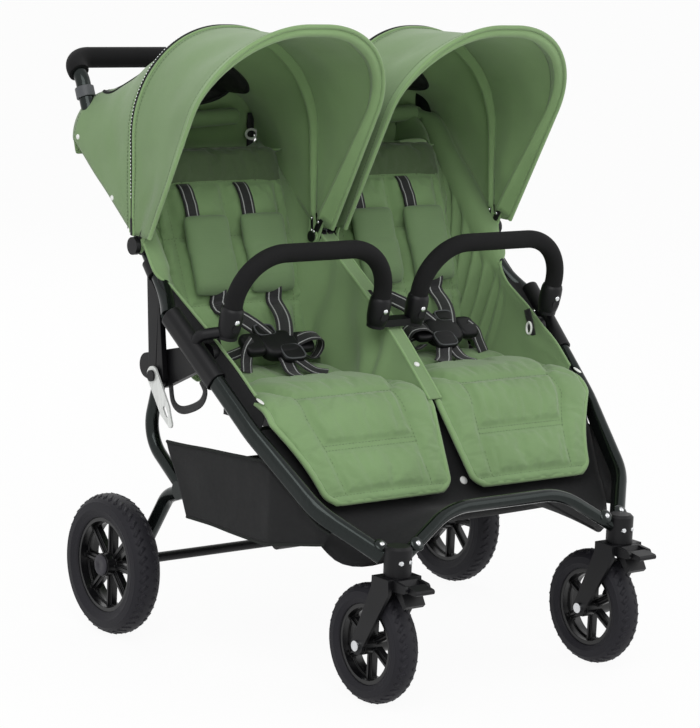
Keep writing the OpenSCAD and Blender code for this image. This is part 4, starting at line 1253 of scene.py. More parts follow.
@dataclass
class SeatPad(Pad):
    """Seat, knee and leg rest in one quilted pad: narrow at the back, wide at the knee, with a bound edge."""

    back_y: float = 0.091
    seat_z: float = 0.430
    knee: YZ = (-0.138, 0.430)
    leg_end: YZ = (-0.232, 0.289)
    knee_r: float = 0.050
    thick: tuple = (0.034, 0.024)
    half: tuple = (0.125, 0.157, 0.118)
    middle: tuple = (0.170, 0.163, 0.144)
    flare: tuple = (0.105, 0.070)
    hollow: float = 0.0045

    def __post_init__(self) -> None:
        """Works out the bend at the knee."""
        drop = Vector(self.knee) - Vector(self.leg_end)
        self.turn = math.atan2(drop.y, drop.x)
        self.cut = self.knee_r * math.tan(self.turn / 2)
        self.run_seat = self.back_y - self.knee[0] - self.cut
        self.run_knee = self.knee_r * self.turn
        self.run_leg = drop.length - self.cut

    def length(self) -> float:
        """The pad's whole run, from the back to the leg end."""
        return self.run_seat + self.run_knee + self.run_leg

    def path(self, s: float) -> tuple[Vector, Vector]:
        """The seat's level run, the bend at the knee and the leg rest's slope."""
        a = clamp((s - self.run_seat) / self.run_knee) * self.turn
        out = Vector((-math.sin(a), math.cos(a)))
        if s < self.run_seat:
            return Vector((self.back_y - s, self.seat_z)), out
        hub = Vector((self.knee[0] + self.cut, self.seat_z - self.knee_r))
        spot = hub + out * self.knee_r
        return spot - Vector((math.cos(a), math.sin(a))) * max(0.0, s - self.run_seat - self.run_knee), out

    def section(self, s: float) -> tuple[float, float, float]:
        """Wider from the seat to the knee, narrower and thinner down the leg."""
        wider = smooth((s - self.flare[0]) / self.flare[1])
        fall = clamp((s - self.run_seat - self.run_knee) / self.run_leg)
        half = mix(mix(self.half[0], self.half[1], wider), self.half[2], fall)
        half *= mix(0.9, 1.0, self.round_end(s, 0.024))
        thick = mix(self.thick[0], self.thick[1], clamp((s - self.run_seat + 0.02) / 0.09))
        x = mix(mix(self.middle[0], self.middle[1], wider), self.middle[2], fall)
        hollow = self.hollow * math.sin(math.pi * fall)
        return x - hollow, half - hollow, thick * self.round_end(s, 0.015)

    def seams(self) -> list[list[tuple[float, float]]]:
        """Cross seams at the seat, knee and leg, and two long seams down the leg rest."""
        knee = self.run_seat + 0.012
        leg = self.run_seat + self.run_knee + 0.050
        end = self.length() - 0.019
        lines = [[(0.096, -0.93), (0.096, 0.0), (0.096, 0.93)], [(knee, -0.59), (knee, 0.0), (knee, 0.59)]]
        lines += [[(s, -0.63), (s, 0.0), (s, 0.63)] for s in (leg - 0.004, leg + 0.004)]
        lines += [[(knee, 0.59 * k), (leg, 0.63 * k), (end, 0.69 * k)] for k in (-1, 1)]
        lines.append([(end + 0.003, -0.88), (end + 0.003, 0.0), (end + 0.003, 0.88)])
        lines += [[(knee - 0.050, 0.80 * k), (knee - 0.018, 0.70 * k), (knee, 0.59 * k)] for k in (-1, 1)]
        return lines

    def build(self) -> None:
        """Makes the pad and its bound edge."""
        word = self.side.word
        self.make(f"{word}_seat_cushion", "chassis", f"{word}_seat_pad", 0.0056)
        end = self.length() - 0.006
        edge = [(mix(self.run_seat - 0.03, end - 0.02, f), -0.985) for f in steps(40)]
        corner = [(end - 0.02 + 0.02 * math.sin(a), -0.985 + 0.17 * (1 - math.cos(a)))
                  for a in (math.pi / 2 * f for f in steps(8)[1:])]
        half_way = edge + corner + [(end, mix(-0.815, 0.0, f)) for f in steps(12)[1:]]
        line = [self.point(s, a, 0.0) for s, a in half_way + [(s, -a) for s, a in half_way[-2::-1]]]
        bound = self.dresser.cords(f"{word}_seat_binding", [line], 0.0050, self.dresser.looks.piping)
        self.dresser.ride(bound, "chassis", "green_cloth")


@dataclass
class BackPad(Pad):
    """Seat back with a soft centre panel and a head panel darkened as painted shade, turning about the fold pins."""

    hinge: YZ = (0.115, 0.440)
    angle: float = 68.0
    reach: float = 0.366
    below: float = 0.017
    thickness: float = 0.038
    half: float = 0.131
    hip: float = 0.010
    middle: float = 0.168
    head: float = 0.322

    def length(self) -> float:
        """The pad's whole run, from below its hinge to its top."""
        return self.reach + self.below

    def path(self, s: float) -> tuple[Vector, Vector]:
        """A straight run up the back."""
        a = math.radians(self.angle)
        up = Vector((math.cos(a), math.sin(a)))
        return Vector(self.hinge) + up * (s - self.below), Vector((-up.y, up.x))

    def section(self, s: float) -> tuple[float, float, float]:
        """Even width, drawn in at the hips, and an even thickness."""
        half = self.half - self.hip * clamp((0.12 - s) / 0.04)
        half *= mix(0.9, 1.0, self.round_end(s, 0.026))
        return self.middle, half, self.thickness * self.round_end(s, 0.017)

    def seams(self) -> list[list[tuple[float, float]]]:
        """Cross seams at the waist, shoulders and head, and seams up the sides and the middle."""
        lines = [[(s, -0.93), (s, 0.0), (s, 0.93)] for s in (0.120, 0.232, self.head)]
        lines += [[(0.03, 0.78 * k), (0.19, 0.80 * k), (self.head, 0.84 * k)] for k in (-1, 1)]
        return lines + [[(0.03, 0.0), (0.19, 0.0), (self.head, 0.0)]]

    def trim(self, obj: Object) -> None:
        """Gives the head panel its darker cloth, painted shade over the back's top above the head seam."""
        obj.data.materials.append(self.dresser.looks.head_painted_shade)
        spots = np.array([tuple(face.center) for face in obj.data.polygons])
        runs, _, _ = self.locate(spots)
        # Faces above the head seam take the painted shade.
        obj.data.polygons.foreach_set("material_index", (runs > self.head + 0.001).astype(np.int32))

    def build(self) -> None:
        """Makes the pad, its shoulder straps with their covers, and the gussets beside it."""
        word = self.side.word
        tree = self.make(f"{word}_back_cushion", f"{word}_back", f"{word}_back_pad", 0.005)
        ShoulderStraps(self, tree).build()
        for k, label in EDGES:
            self.add_gusset(k, label)

    def add_gusset(self, k: int, label: str) -> None:
        """Adds the gusset cloth between a wall and the back.

        Args:
            k: 1 at the outer wall, -1 at the centre wall.
            label: The word for that wall.
        """
        word = self.side.word
        edges = [self.middle + k * (self.half + past) for past in (-0.006, -0.018)]
        rows = []
        for f in steps(25):
            spot, out = self.path(mix(0.040, self.length() - 0.026, f))
            here = [(mix(*edges, c), spot + out * mix(-0.002, -0.013, c)) for c in steps(9)]
            rows.append([self.side.at(x, place.x, place.y) for x, place in here])
        cloth = self.dresser.cloth(f"{word}_{label}_gusset", rows, k * self.side.value > 0, (self.dresser.looks.green,),
                                   0.0016, "hung", "back_frame")
        span = Span("handle_frame", f"{word}_back", *(self.side.at(x, *self.hinge) for x in edges))
        self.dresser.bend(cloth, span, "green_cloth")


@dataclass
class ShoulderStraps:
    """The two shoulder straps on a back pad, with soft covers."""

    pad: BackPad
    face: BVHTree
    apart: float = 0.42
    wide: float = 0.027
    thick: float = 0.0022
    lifts: tuple = (0.009, 0.002)
    slant: float = 0.020
    cover_half: float = 0.042
    cover_lift: float = 0.0065
    cover_high: float = 0.0095
    cover: tuple = (0.132, 0.263)
    run: tuple = (0.112, 0.319)
    buckle: tuple = (0.168, 0.048, 0.500)

    def build(self) -> None:
        """Makes both straps and covers."""
        word = self.pad.side.word
        dresser = self.pad.dresser
        out = self.pad.path(0.2)[1]
        facing = Vector((0, out.x, out.y))
        straps = []
        for k, label in EDGES:
            share = k * self.apart
            line = []
            for f in steps(40):
                s = mix(self.run[1], self.run[0], f)
                over = smooth((s - self.cover[1] + 0.05) / 0.05)
                spot = self.pad.settle(self.face, s, share, mix(*self.lifts, over))
                line.append(spot - Vector((self.slant * over, 0, 0)))
            x, y, z = self.buckle
            line += [mix(line[-1], self.pad.side.at(x + 0.017 * k, y, z), f) + facing * 0.008 * math.sin(math.pi * f)
                     for f in steps(16)[1:]]
            straps.append(strap_object(f"{word}_{label}_shoulder_strap", line, facing, self.wide, self.thick,
                                       dresser.looks.webbing))
            cover = loft_object(f"{word}_{label}_shoulder_cover", self.cover_form(share), dresser.looks.cover)
            subdivide(cover)
            dresser.ride(cover, f"{word}_back", "green_cloth")
            dresser.ride(straps[-1], f"{word}_back", "black_cloth")
        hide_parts(f"{word}_shoulder_straps")

    def cover_form(self, share: float) -> Grid:
        """Loops of a soft cover round its strap."""
        loops = []
        low, high = self.cover
        ends = [self.pad.settle(self.face, s, share, self.cover_lift) for s in self.cover]
        for f in steps(33):
            s = mix(low, high, f)
            out = self.pad.path(s)[1]
            spot = mix(*ends, f)
            rise = self.pad.settle(self.face, s, share, self.cover_lift) - spot
            spot += Vector((0, out.x, out.y)) * max(0.0, rise.y * out.x + rise.z * out.y)
            end = min(f, 1 - f) * (high - low)
            full = math.sqrt(max(0.03, 1 - max(0.0, 1 - end / 0.014) ** 2))
            flare = self.cover_half * mix(0.86, 1.0, full)
            loop = []
            for across, crown in soft_loop(32, 0.55, 0.8):
                x = flare * across * self.pad.side.value
                puff = 1 + 0.12 * ripple(Vector((x, s, share)), 0.03, 1.5)
                up = self.cover_high * full * puff * crown
                loop.append(spot + Vector((x, out.x * up, out.y * up)))
            loops.append(loop)
        return loops if self.pad.side is Side.RIGHT else loops[::-1]


@dataclass
class SideWall:
    """Outer cloth wall of a seat: over the handle tube and along the rail, down to the pads."""

    side: Side
    dresser: Dresser
    rail_top: YZ = (0.050, 0.540)
    rail_pitch: float = 38.9
    rail_bends: tuple = (0.235, 0.395)
    rail_xs: tuple = (0.364, 0.340, 0.305)
    rail_taper: float = 0.78
    tube_x: float = 0.344
    tube_up: YZ = (-0.736, 0.678)
    over: float = 0.0222
    wrap: float = 0.08
    rear_in: float = 0.026
    fold_high: float = 0.0075
    cloth: float = 0.0026
    strap_x: float = 0.334
    hinge_strap: tuple = ((0.0128, 0.447), (0.0010, 0.432), (0.0110, 0.413), (0.0400, 0.3985), (0.0680, 0.3925),
                          (0.0880, 0.4020), (0.0960, 0.4300))
    top: tuple = ((0.318, -0.110, 0.443), (0.322, -0.068, 0.476), (0.323, -0.030, 0.499), (0.325, 0.009, 0.524),
                  (0.326, 0.038, 0.540), (0.328, 0.072, 0.560), (0.338, 0.102, 0.586), (0.354, 0.121, 0.610),
                  (0.357, 0.150, 0.646), (0.357, 0.200, 0.701), (0.357, 0.250, 0.755), (0.352, 0.300, 0.809),
                  (0.338, 0.324, 0.824), (0.316, 0.341, 0.836))
    low: tuple = ((0.302, -0.112, 0.420), (0.302, -0.075, 0.423), (0.300, -0.040, 0.425), (0.296, -0.005, 0.426),
                  (0.290, 0.030, 0.428), (0.284, 0.065, 0.435), (0.278, 0.100, 0.451), (0.276, 0.122, 0.474),
                  (0.280, 0.144, 0.520), (0.286, 0.172, 0.590), (0.288, 0.205, 0.672), (0.288, 0.232, 0.742),
                  (0.288, 0.256, 0.782), (0.286, 0.338, 0.772))

    def rail_x(self, y: float) -> float:
        """X of the rail's middle line at a Y."""
        s = (self.rail_top[0] - y) / math.cos(math.radians(self.rail_pitch))
        top, knee, low = self.rail_xs
        first, second = self.rail_bends
        if s < first:
            return mix(top, knee, clamp(s / first))
        return mix(knee, low, clamp((s - first) / (second - first))) - max(0.0, s - second) * self.rail_taper

    def rail_z(self, y: float) -> float:
        """Z of the rail's middle line at a Y."""
        return self.rail_top[1] - (self.rail_top[0] - y) * math.tan(math.radians(self.rail_pitch))

    def fold(self, f: float, c: float) -> float:
        """How far the wall's upright folds stand out, at a share along and across it."""
        window = smooth((f - 0.34) / 0.14) * smooth((0.88 - f) / 0.12) * smooth((c - 0.06) / 0.2)
        wave = math.sin(f * 112.0 + 1.5 * math.sin(f * 17.0) + c * 1.4)
        return self.fold_high * wave * window * math.sin(math.pi * clamp(0.1 + c * 0.8)) ** 0.7

    def point(self, f: float, c: float) -> Vector:
        """A point at a share along the wall and a share from its top to its foot."""
        high = spline(self.top, f)
        foot = spline(self.low, f)
        turn = math.radians(mix(42, -90, min(1.0, c / self.wrap)))
        lift = self.over * math.cos(turn) - 0.015
        arc = Vector((self.tube_x + self.over * math.sin(turn), high.y, high.z))
        arc += Vector((0, *self.tube_up)) * lift
        near = smooth((high.y - 0.096) / 0.026) * smooth((0.336 - high.y) / 0.04)
        p = mix(mix(high, foot, min(c, self.wrap)), arc, near)
        lip = smooth((high.y - 0.132) / 0.02) * smooth((0.25 - high.y) / 0.03) * (1 - clamp(c / 0.02))
        p = mix(p, Vector((0.3652, p.y, max(p.z, 0.666 + (p.y - 0.16) * 0.734))), lip)
        down = max(0.0, c - self.wrap) / (1 - self.wrap)
        drawn_in = self.rear_in * smooth((f - 0.82) / 0.14) * smooth(c / self.wrap) * (1 - down)
        x = mix(p.x, foot.x, down ** 1.5) - drawn_in
        p = mix(p, foot, down)
        soft = 0.003 * ripple(Vector((f * 0.6, c * 0.2, 0)), 0.07, 5.0) * math.sin(math.pi * c)
        return self.side.at(x + soft - self.fold(f, c), p.y, p.z)

    def edge_at(self, y: float) -> Vector:
        """The point of the wall's upper edge at a Y."""
        low, high = 0.0, 1.0
        for _ in range(24):
            half = (low + high) / 2
            low, high = (half, high) if spline(self.top, half).y < y else (low, half)
        return self.point(low, 0.0)

    def build(self) -> None:
        """Makes the wall, its edge cord, the black strip along the rail and the small fittings."""
        word = self.side.word
        looks = self.dresser.looks
        span = Span("chassis", "handle_frame", Vector((0, 0.06, 0.50)), Vector((0, 0.17, 0.62)))
        rows = [[self.point(f, c ** 1.6) for c in steps(26)] for f in steps(170)]
        wall = self.dresser.cloth(f"{word}_side_wall", rows, self.side is Side.LEFT, (looks.green, looks.black_cloth),
                                  self.cloth, "hung", f"{word}_rail", "handle_tube")
        self.dresser.bend(wall, span, "green_cloth", f"{word}_side_panel")
        cord = self.dresser.cords(f"{word}_side_wall_cord", [[row[0] for row in rows]], 0.0024, looks.piping)
        self.dresser.bend(cord, span, "green_cloth")
        rows = []
        for f in steps(60):
            y = mix(0.110, -0.136, f)
            past = max(0.0, -0.110 - y)
            p = self.edge_at(y) - Vector((0, past, 0.75 * past))
            rail = self.side.at(self.rail_x(y) - 0.009, y, self.rail_z(y) + 0.004)
            rows.append([mix(p + Vector((0, 0, -0.003)), rail, c) - Vector((0, 0, 0.006 * math.sin(math.pi * c)))
                         for c in steps(9)])
        strip = self.dresser.cloth(f"{word}_rail_strip", rows, self.side is Side.RIGHT, (looks.black_cloth,), 0.002,
                                   "stretched", f"{word}_rail")
        self.dresser.ride(strip, "chassis", "black_cloth")
        self.add_fittings()

    def add_fittings(self) -> None:
        """Adds the pale ring on its short strap inside the wall, the tab by the knee and the strap at the hinge."""
        word = self.side.word
        looks = self.dresser.looks
        spot = (self.side.at(0.321, -0.126, 0.438), Vector((0, -0.3, 0.95)), Vector((0, 1, 0.3)))
        seed = points_seed(f"{word}_knee_tab", [spot])
        tab = self.dresser.rules.stud.run(seed, looks.snap, Length=0.020, Width=0.007, Height=0.003)
        self.dresser.ride(tab, "chassis", "silver_metal")
        line = [self.side.at(self.strap_x, y, z) for y, z in self.hinge_strap]
        strap = strap_object(f"{word}_hinge_strap", curve_through(line, 40), Vector((-self.side.value, 0, 0)), 0.013,
                             0.002, looks.plain_webbing)
        self.dresser.ride(strap, "chassis", "black_cloth")
        inward = Vector((-0.005 * self.side.value, 0, 0))
        mid = self.point(0.20, 0.18) + inward
        line = [mid + Vector((0, 0.006 * k, 0.014 * k)) for k in (1.6, 0.6, -0.4, -1.4)]
        strap = strap_object(f"{word}_ring_strap", curve_through(line, 10), inward.normalized(), 0.016, 0.002,
                             looks.plain_webbing)
        self.dresser.ride(strap, "chassis", "black_cloth")
        hung = mid + inward * 0.4 + Vector((0, 0, -0.008))
        ring = oval(hung, Vector((0, 0.006, 0)), Vector((0, 0, 0.010)))
        self.dresser.ride(self.dresser.cords(f"{word}_wall_ring", [ring], 0.002, looks.snap), "chassis", "silver_metal")


@dataclass
class CentreWall:
    """Tent of cloth between the seats, from the knee up to the hoods."""

    dresser: Dresser
    top: tuple = ((-0.150, 0.420), (-0.118, 0.449), (-0.076, 0.486), (-0.040, 0.515), (0.0, 0.545), (0.040, 0.574),
                  (0.096, 0.610), (0.150, 0.646), (0.220, 0.702), (0.290, 0.752), (0.338, 0.786))
    low: tuple = ((-0.150, 0.410), (-0.112, 0.420), (-0.070, 0.420), (-0.036, 0.419), (0.0, 0.419), (0.060, 0.421),
                  (0.112, 0.448), (0.150, 0.532), (0.200, 0.656), (0.244, 0.766), (0.300, 0.772))
    ridge_x: tuple = (0.012, 0.013)
    foot_x: tuple = (0.014, 0.060)
    flat: float = 0.24
    fold_high: float = 0.0095
    cloth: float = 0.0026

    def point(self, f: float, c: float) -> Vector:
        """A point at a share along the tent and a share across it, from left foot to right foot."""
        high = spline(self.top, f)
        foot = spline(self.low, f)
        side = abs(2 * c - 1)
        ridge = mix(*self.ridge_x, f)
        down = clamp((side - self.flat) / (1 - self.flat))
        p = mix(high, foot, down)
        x = ridge * min(1.0, side / self.flat) + (mix(*self.foot_x, smooth(f / 0.34)) - ridge) * down ** 1.5
        window = smooth((f - 0.12) / 0.25) * smooth((0.92 - f) / 0.2) * math.sin(math.pi * down) ** 0.7
        side_seed = math.copysign(2.0, 2 * c - 1)
        phase = f * 46.0 + 3.0 * down + 3.4 * ripple(Vector((f * 2.0, down * 0.5, 0)), 0.42, side_seed)
        swing = 0.6 + 0.5 * ripple(Vector((f * 3.0, 1.0, 0)), 0.4, 8.0)
        folds = self.fold_high * swing * math.sin(phase) * mix(0.45, 1.0, down)
        x += (folds + 0.004 * ripple(Vector((f, c, 0)), 0.12, 2.0)) * window
        return Vector((math.copysign(max(0.0, x), 2 * c - 1), p.x, p.y))

    def build(self) -> None:
        """Makes the tent, its ridge cords and its snap."""
        looks = self.dresser.looks
        span = Span("chassis", "handle_frame", Vector((0, 0.05, 0.52)), Vector((0, 0.15, 0.63)))
        rows = [[self.point(f, c) for c in steps(61)] for f in steps(100)]
        tent = self.dresser.cloth("centre_wall", rows, True, (looks.green, looks.black_cloth), self.cloth, "hung",
                                  "seat_base", "back_frame")
        self.dresser.bend(tent, span, "green_cloth", "centre_panel")
        lines = [[row[k] for row in rows] for k in (23, 37)]
        cord = self.dresser.cords("centre_wall_cords", lines, 0.0024, looks.piping)
        self.dresser.bend(cord, span, "green_cloth")
        up = Vector((0, -0.6, 0.8))
        snap = self.dresser.studs("centre_snap", [(self.point(0.145, 0.5) + up * 0.002, up, Vector((1, 0, 0)))], 0.010,
                                  0.005, looks.snap)
        self.dresser.ride(snap, "chassis", "silver_metal")


@dataclass
class LowerCloth:
    """Black calf panel and basket below the seats."""

    dresser: Dresser
    panel_half: tuple = (0.328, 0.319, 0.304, 0.276, 0.200)
    panel: tuple = ((-0.1312, 0.394), (-0.166, 0.343), (-0.214, 0.274), (-0.262, 0.272), (-0.316, 0.286))
    cloth: float = 0.0026
    bar_flat: float = 0.082
    bar_slope: float = 0.52
    flap_x: float = 0.327
    tub_x: float = 0.293
    tub: tuple = ((0.094, 0.296), (0.080, 0.262), (0.062, 0.236), (0.040, 0.227), (-0.060, 0.226), (-0.156, 0.226),
                  (-0.182, 0.233), (-0.192, 0.254), (-0.172, 0.302), (-0.150, 0.350))
    flap_top: tuple = ((0.112, 0.333), (0.060, 0.336), (0.0, 0.341), (-0.060, 0.345), (-0.120, 0.349),
                       (-0.160, 0.348), (-0.210, 0.308), (-0.270, 0.260))
    flap_low: tuple = ((0.050, 0.224), (0.020, 0.225), (-0.020, 0.226), (-0.070, 0.225), (-0.125, 0.225),
                       (-0.160, 0.226), (-0.205, 0.234), (-0.264, 0.244))

    def panel_point(self, x: float, f: float) -> Vector:
        """A point of the calf panel at a share across and a share down it."""
        spot = spline(self.panel, f)
        half = spline([(h, 0.0) for h in self.panel_half], f).x
        at = x * half
        drop = max(0.0, abs(at) - self.bar_flat) * self.bar_slope * smooth((f - 0.5) / 0.5)
        slack = 0.004 * ripple(Vector((x, f, 0)), 0.45, 4.0) * math.sin(math.pi * f)
        return Vector((at, spot.x + slack, spot.y - drop + slack))

    def tub_point(self, x: float, f: float) -> Vector:
        """A point of the tub's floor and end walls."""
        spot = spline(self.tub, f)
        sag = 0.005 * math.sin(math.pi * f) * (1 - abs(x) ** 3)
        return Vector((x * self.tub_x, spot.x, spot.y - sag + 0.003))

    def flap_point(self, side: Side, f: float, c: float) -> Vector:
        """A point of a side flap at a share along it and a share from its top."""
        p = mix(spline(self.flap_top, f), spline(self.flap_low, f), c)
        x = min(self.flap_x, SideWall(side, self.dresser).rail_x(p.x) - 0.003)
        slack = 0.004 * ripple(Vector((f, c * 0.5, side.value)), 0.22, 9.0) * math.sin(math.pi * c)
        return side.at(x + slack, p.x, p.y)

    def side_point(self, side: Side, f: float, c: float) -> Vector:
        """A point of the tub's side wall, from its rim to its floor."""
        floor = spline(self.tub, f)
        rim = mix(spline(self.tub, 0.0), spline(self.tub, 1.0), f)
        p = mix(rim, floor, c)
        return side.at(self.tub_x - 0.001, p.x, p.y)

    def build(self) -> None:
        """Makes the panel with its rivet, the tub with its sides, and the flaps with their hems."""
        looks = self.dresser.looks
        rows = [[self.panel_point(mix(-1, 1, u), f) for f in steps(30)] for u in steps(61)]
        panel = self.dresser.cloth("calf_cloth", rows, False, (looks.black_cloth,), self.cloth, "stretched",
                                   "front_bar", "seat_base")
        self.dresser.ride(panel, "chassis", "black_cloth", "calf_panel")
        up = Vector((0, -0.8, 0.58))
        stud = self.dresser.studs("calf_rivet", [(self.panel_point(0.085, 0.41) + up * 0.002, up, Vector((1, 0, 0)))],
                                  0.014, 0.005, looks.snap)
        self.dresser.ride(stud, "chassis", "silver_metal")
        rows = [[self.tub_point(mix(-1, 1, u), f) for f in steps(46)] for u in steps(41)]
        self.hang("basket_tub", rows, False, "basket")
        for side in Side:
            rows = [[self.flap_point(side, f, c) for c in steps(15)] for f in steps(70)]
            self.hang(f"{side.word}_basket_flap", rows, side is Side.LEFT)
            lines = [[row[0] for row in rows], [row[-1] for row in rows]]
            hem = self.dresser.cords(f"{side.word}_flap_hem", lines, 0.0026, looks.zip)
            self.crumple(hem)
            self.dresser.ride(hem, "chassis", "black_cloth")
            rows = [[self.side_point(side, f, c) for c in steps(9)] for f in steps(46)]
            self.hang(f"{side.word}_basket_side", rows, side is Side.LEFT)

    @staticmethod
    def crumple(obj: Object) -> None:
        """Gives a basket piece its own copy of its mesh."""
        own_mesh(obj)

    def hang(self, name: str, rows: Grid, flip: bool, *nodes: str) -> None:
        """Makes a sheet of the basket, in place of nodes."""
        obj = self.dresser.cloth(name, rows, flip, (self.dresser.looks.black_cloth,), self.cloth, "hung",
                                 "left_rail", "right_rail")
        self.crumple(obj)
        self.dresser.ride(obj, "chassis", "black_cloth", *nodes)


@dataclass
class LapHarness:
    """Buckle, lap straps, crotch strap and loose ends, heaped on a seat."""

    side: Side
    dresser: Dresser
    place: tuple = (0.168, 0.043, 0.486)
    wide: float = 0.027
    thick: float = 0.0024
    rim: float = 0.0013

    def strap(self, label: str, spots: Sequence[tuple], up: Vector) -> Object:
        """A strap through places given from the buckle, on the right side."""
        o = Vector(self.place)
        path = curve_through([self.side.at(*(o + Vector(p))) for p in spots], 60)
        obj = strap_object(f"{self.side.word}_{label}", path, up, self.wide, self.thick, self.dresser.looks.webbing)
        return self.dresser.ride(obj, "chassis", "black_cloth")

    def build(self) -> None:
        """Makes the straps, the buckle and the slides."""
        word = self.side.word
        looks = self.dresser.looks
        up = Vector((0, -0.4, 0.9))
        front = self.strap("crotch_strap", [(0.0, -0.006, -0.004), (0.001, -0.024, -0.018), (0.004, -0.046, -0.034),
                                            (0.008, -0.072, -0.0375)], up)
        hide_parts(f"{word}_lap_belt")
        for k, label in EDGES:
            self.strap(f"{label}_lap_strap", [(0.022 * k, 0.0, 0.0), (0.056 * k, 0.006, -0.004),
                                              (0.092 * k, 0.030, -0.022), (0.118 * k, 0.058, -0.030)], up)
        self.strap("strap_tail", [(0.050, -0.004, 0.010), (0.064, -0.010, -0.002), (0.070, -0.014, -0.018),
                                  (0.074, -0.022, -0.0345)], Vector((0.3, -1, 0.3)))
        self.strap("strap_loop", [(-0.028, -0.004, 0.004), (-0.052, -0.010, 0.014), (-0.076, -0.008, 0.010),
                                  (-0.080, -0.004, -0.008), (-0.064, -0.006, -0.024), (-0.044, -0.006, -0.018)], up)
        self.strap("front_tail", [(-0.006, -0.018, -0.006), (-0.022, -0.034, -0.022), (-0.036, -0.052, -0.034),
                                  (-0.052, -0.066, -0.0365)], up)
        blocks = (("buckle", (0.0, 0.0, 0.0), (0.036, 0.027, 0.012)),
                  ("outer_slide", (0.050, 0.0, 0.004), (0.020, 0.022, 0.008)),
                  ("inner_slide", (-0.046, -0.002, 0.003), (0.018, 0.020, 0.007)),
                  ("upper_slide", (0.016, 0.018, 0.020), (0.020, 0.013, 0.006)),
                  ("front_slide", (-0.012, -0.022, -0.010), (0.023, 0.017, 0.006)))
        rims = []
        for label, spot, half in blocks:
            form, rim = self.block_form(Vector(spot), *half)
            body = loft_object(f"{word}_harness_{label}", form, looks.plastic)
            subdivide(body)
            self.dresser.ride(body, "chassis", "black_plastic")
            if label in ("upper_slide", "front_slide"):
                rims.append(rim)
        self.dresser.ride(self.dresser.cords(f"{word}_slide_rims", rims, self.rim, looks.collar), "chassis",
                          "black_plastic")

    def block_form(self, spot: Vector, half_x: float, half_y: float, half_z: float) -> tuple[Grid, list[Vector]]:
        """A soft-cornered block that leans with the back.

        Args:
            spot: Its middle, from the buckle.
            half_x: Half of its width.
            half_y: Half of its run up the slope.
            half_z: Half of its thickness.

        Returns:
            Loops stacked outwards, and the line round its face.
        """
        loops = []
        for z, share in ((-1.0, 0.80), (-0.9, 0.92), (-0.3, 1.0), (0.4, 1.0), (0.9, 0.88), (1.0, 0.74)):
            loop = []
            for across, along in soft_loop(32, 0.55, 0.55):
                x = half_x * share * across
                y = half_y * share * along
                lean = Vector((x, y * 0.80 - half_z * z * 0.60, y * 0.60 + half_z * z * 0.80))
                loop.append(self.side.at(*(Vector(self.place) + spot + lean)))
            loops.append(loop)
        rim = loops[4] + loops[4][:1]
        return loops if self.side is Side.RIGHT else [loop[::-1] for loop in loops], rim


@dataclass
class Wheel:
    """One wheel's tyre with its tread, and a hub cap on a rear wheel."""

    side: Side
    dresser: Dresser
    end: str
    centre: tuple
    radius: float
    wide: float
    rim: float
    pairs: int
    cap: bool
    tread_sunk: float = 0.0053
    cap_radius: float = 0.0172
    cap_x: float = 0.0205
    cap_step: float = 0.0012

    def profile(self) -> list[tuple[float, float]]:
        """The tyre's section: crown, ridged walls and bead, as radius and X."""
        hub = self.radius - 0.42 * self.wide
        points = []
        for f in steps(61):
            a = mix(-2.15, 2.15, f)
            ridge = 0.0011 * (math.exp(-((abs(a) - 1.22) / 0.05) ** 2) + math.exp(-((abs(a) - 1.75) / 0.06) ** 2))
            reach = 0.42 * self.wide + ridge - 0.0010 * smooth((0.9 - abs(a)) / 0.2)
            points.append((hub + reach * math.cos(a), (self.wide / 2 - 0.0006 + ridge) * math.sin(a)))
        bead = 0.40 * self.wide
        return points + [(self.rim, bead), (self.rim, -bead)]

    def ring(self, profile: Sequence[tuple[float, float]], count: int) -> Grid:
        """Copies of a section turned round the axle."""
        centre = self.side.at(*self.centre)
        return [[centre + Vector((x, r * math.cos(t), r * math.sin(t))) for r, x in profile] for t in turns(count)]

    def build(self) -> None:
        """Makes the tyre, its tread blocks and its cap."""
        looks = self.dresser.looks
        name = f"{self.side.word}_{self.end}_tyre"
        body = f"{self.side.word}_{self.end}_wheel"
        tyre = loft_object(f"{name}_rubber", self.ring(self.profile(), 144), looks.tyre, ring=True)
        self.dresser.ride(tyre, body, "tyre", name)
        centre = self.side.at(*self.centre)
        spots = []
        for k in range(self.pairs):
            for way in (-1, 1):
                t = math.tau * (k + 0.25 * (way + 1)) / self.pairs
                out = Vector((0, math.cos(t), math.sin(t)))
                ahead = Vector((0, -math.sin(t), math.cos(t)))
                tilt = (out + Vector((way * 0.435, 0, 0))).normalized()
                run = Vector((way * 0.75, 0, 0)) + ahead * 0.66
                run = (run - tilt * run.dot(tilt)).normalized()
                spot = centre + Vector((way * self.wide * 0.23, 0, 0)) + out * (self.radius - self.tread_sunk)
                spots.append((spot, tilt, run))
        seed = points_seed(f"{name}_tread", spots)
        tread = self.dresser.rules.block.run(seed, looks.tyre, Length=self.wide * 0.30, Width=0.0062, Height=0.0042)
        self.dresser.ride(tread, body, "tyre")
        if self.cap:
            x = self.side.value * self.cap_x
            step = self.side.value * self.cap_step
            r = self.cap_radius
            section = [(0.0004, x), (0.0165, x), (r, x + step), (r, x + 3 * step), (0.015, x + 4 * step),
                       (0.0004, x + 4.2 * step)]
            section = section if self.side is Side.LEFT else section[::-1]
            cap = loft_object(f"{name}_hub_cap", self.ring(section, 48), looks.cap, ring=True)
            self.dresser.ride(cap, body, "black_plastic")


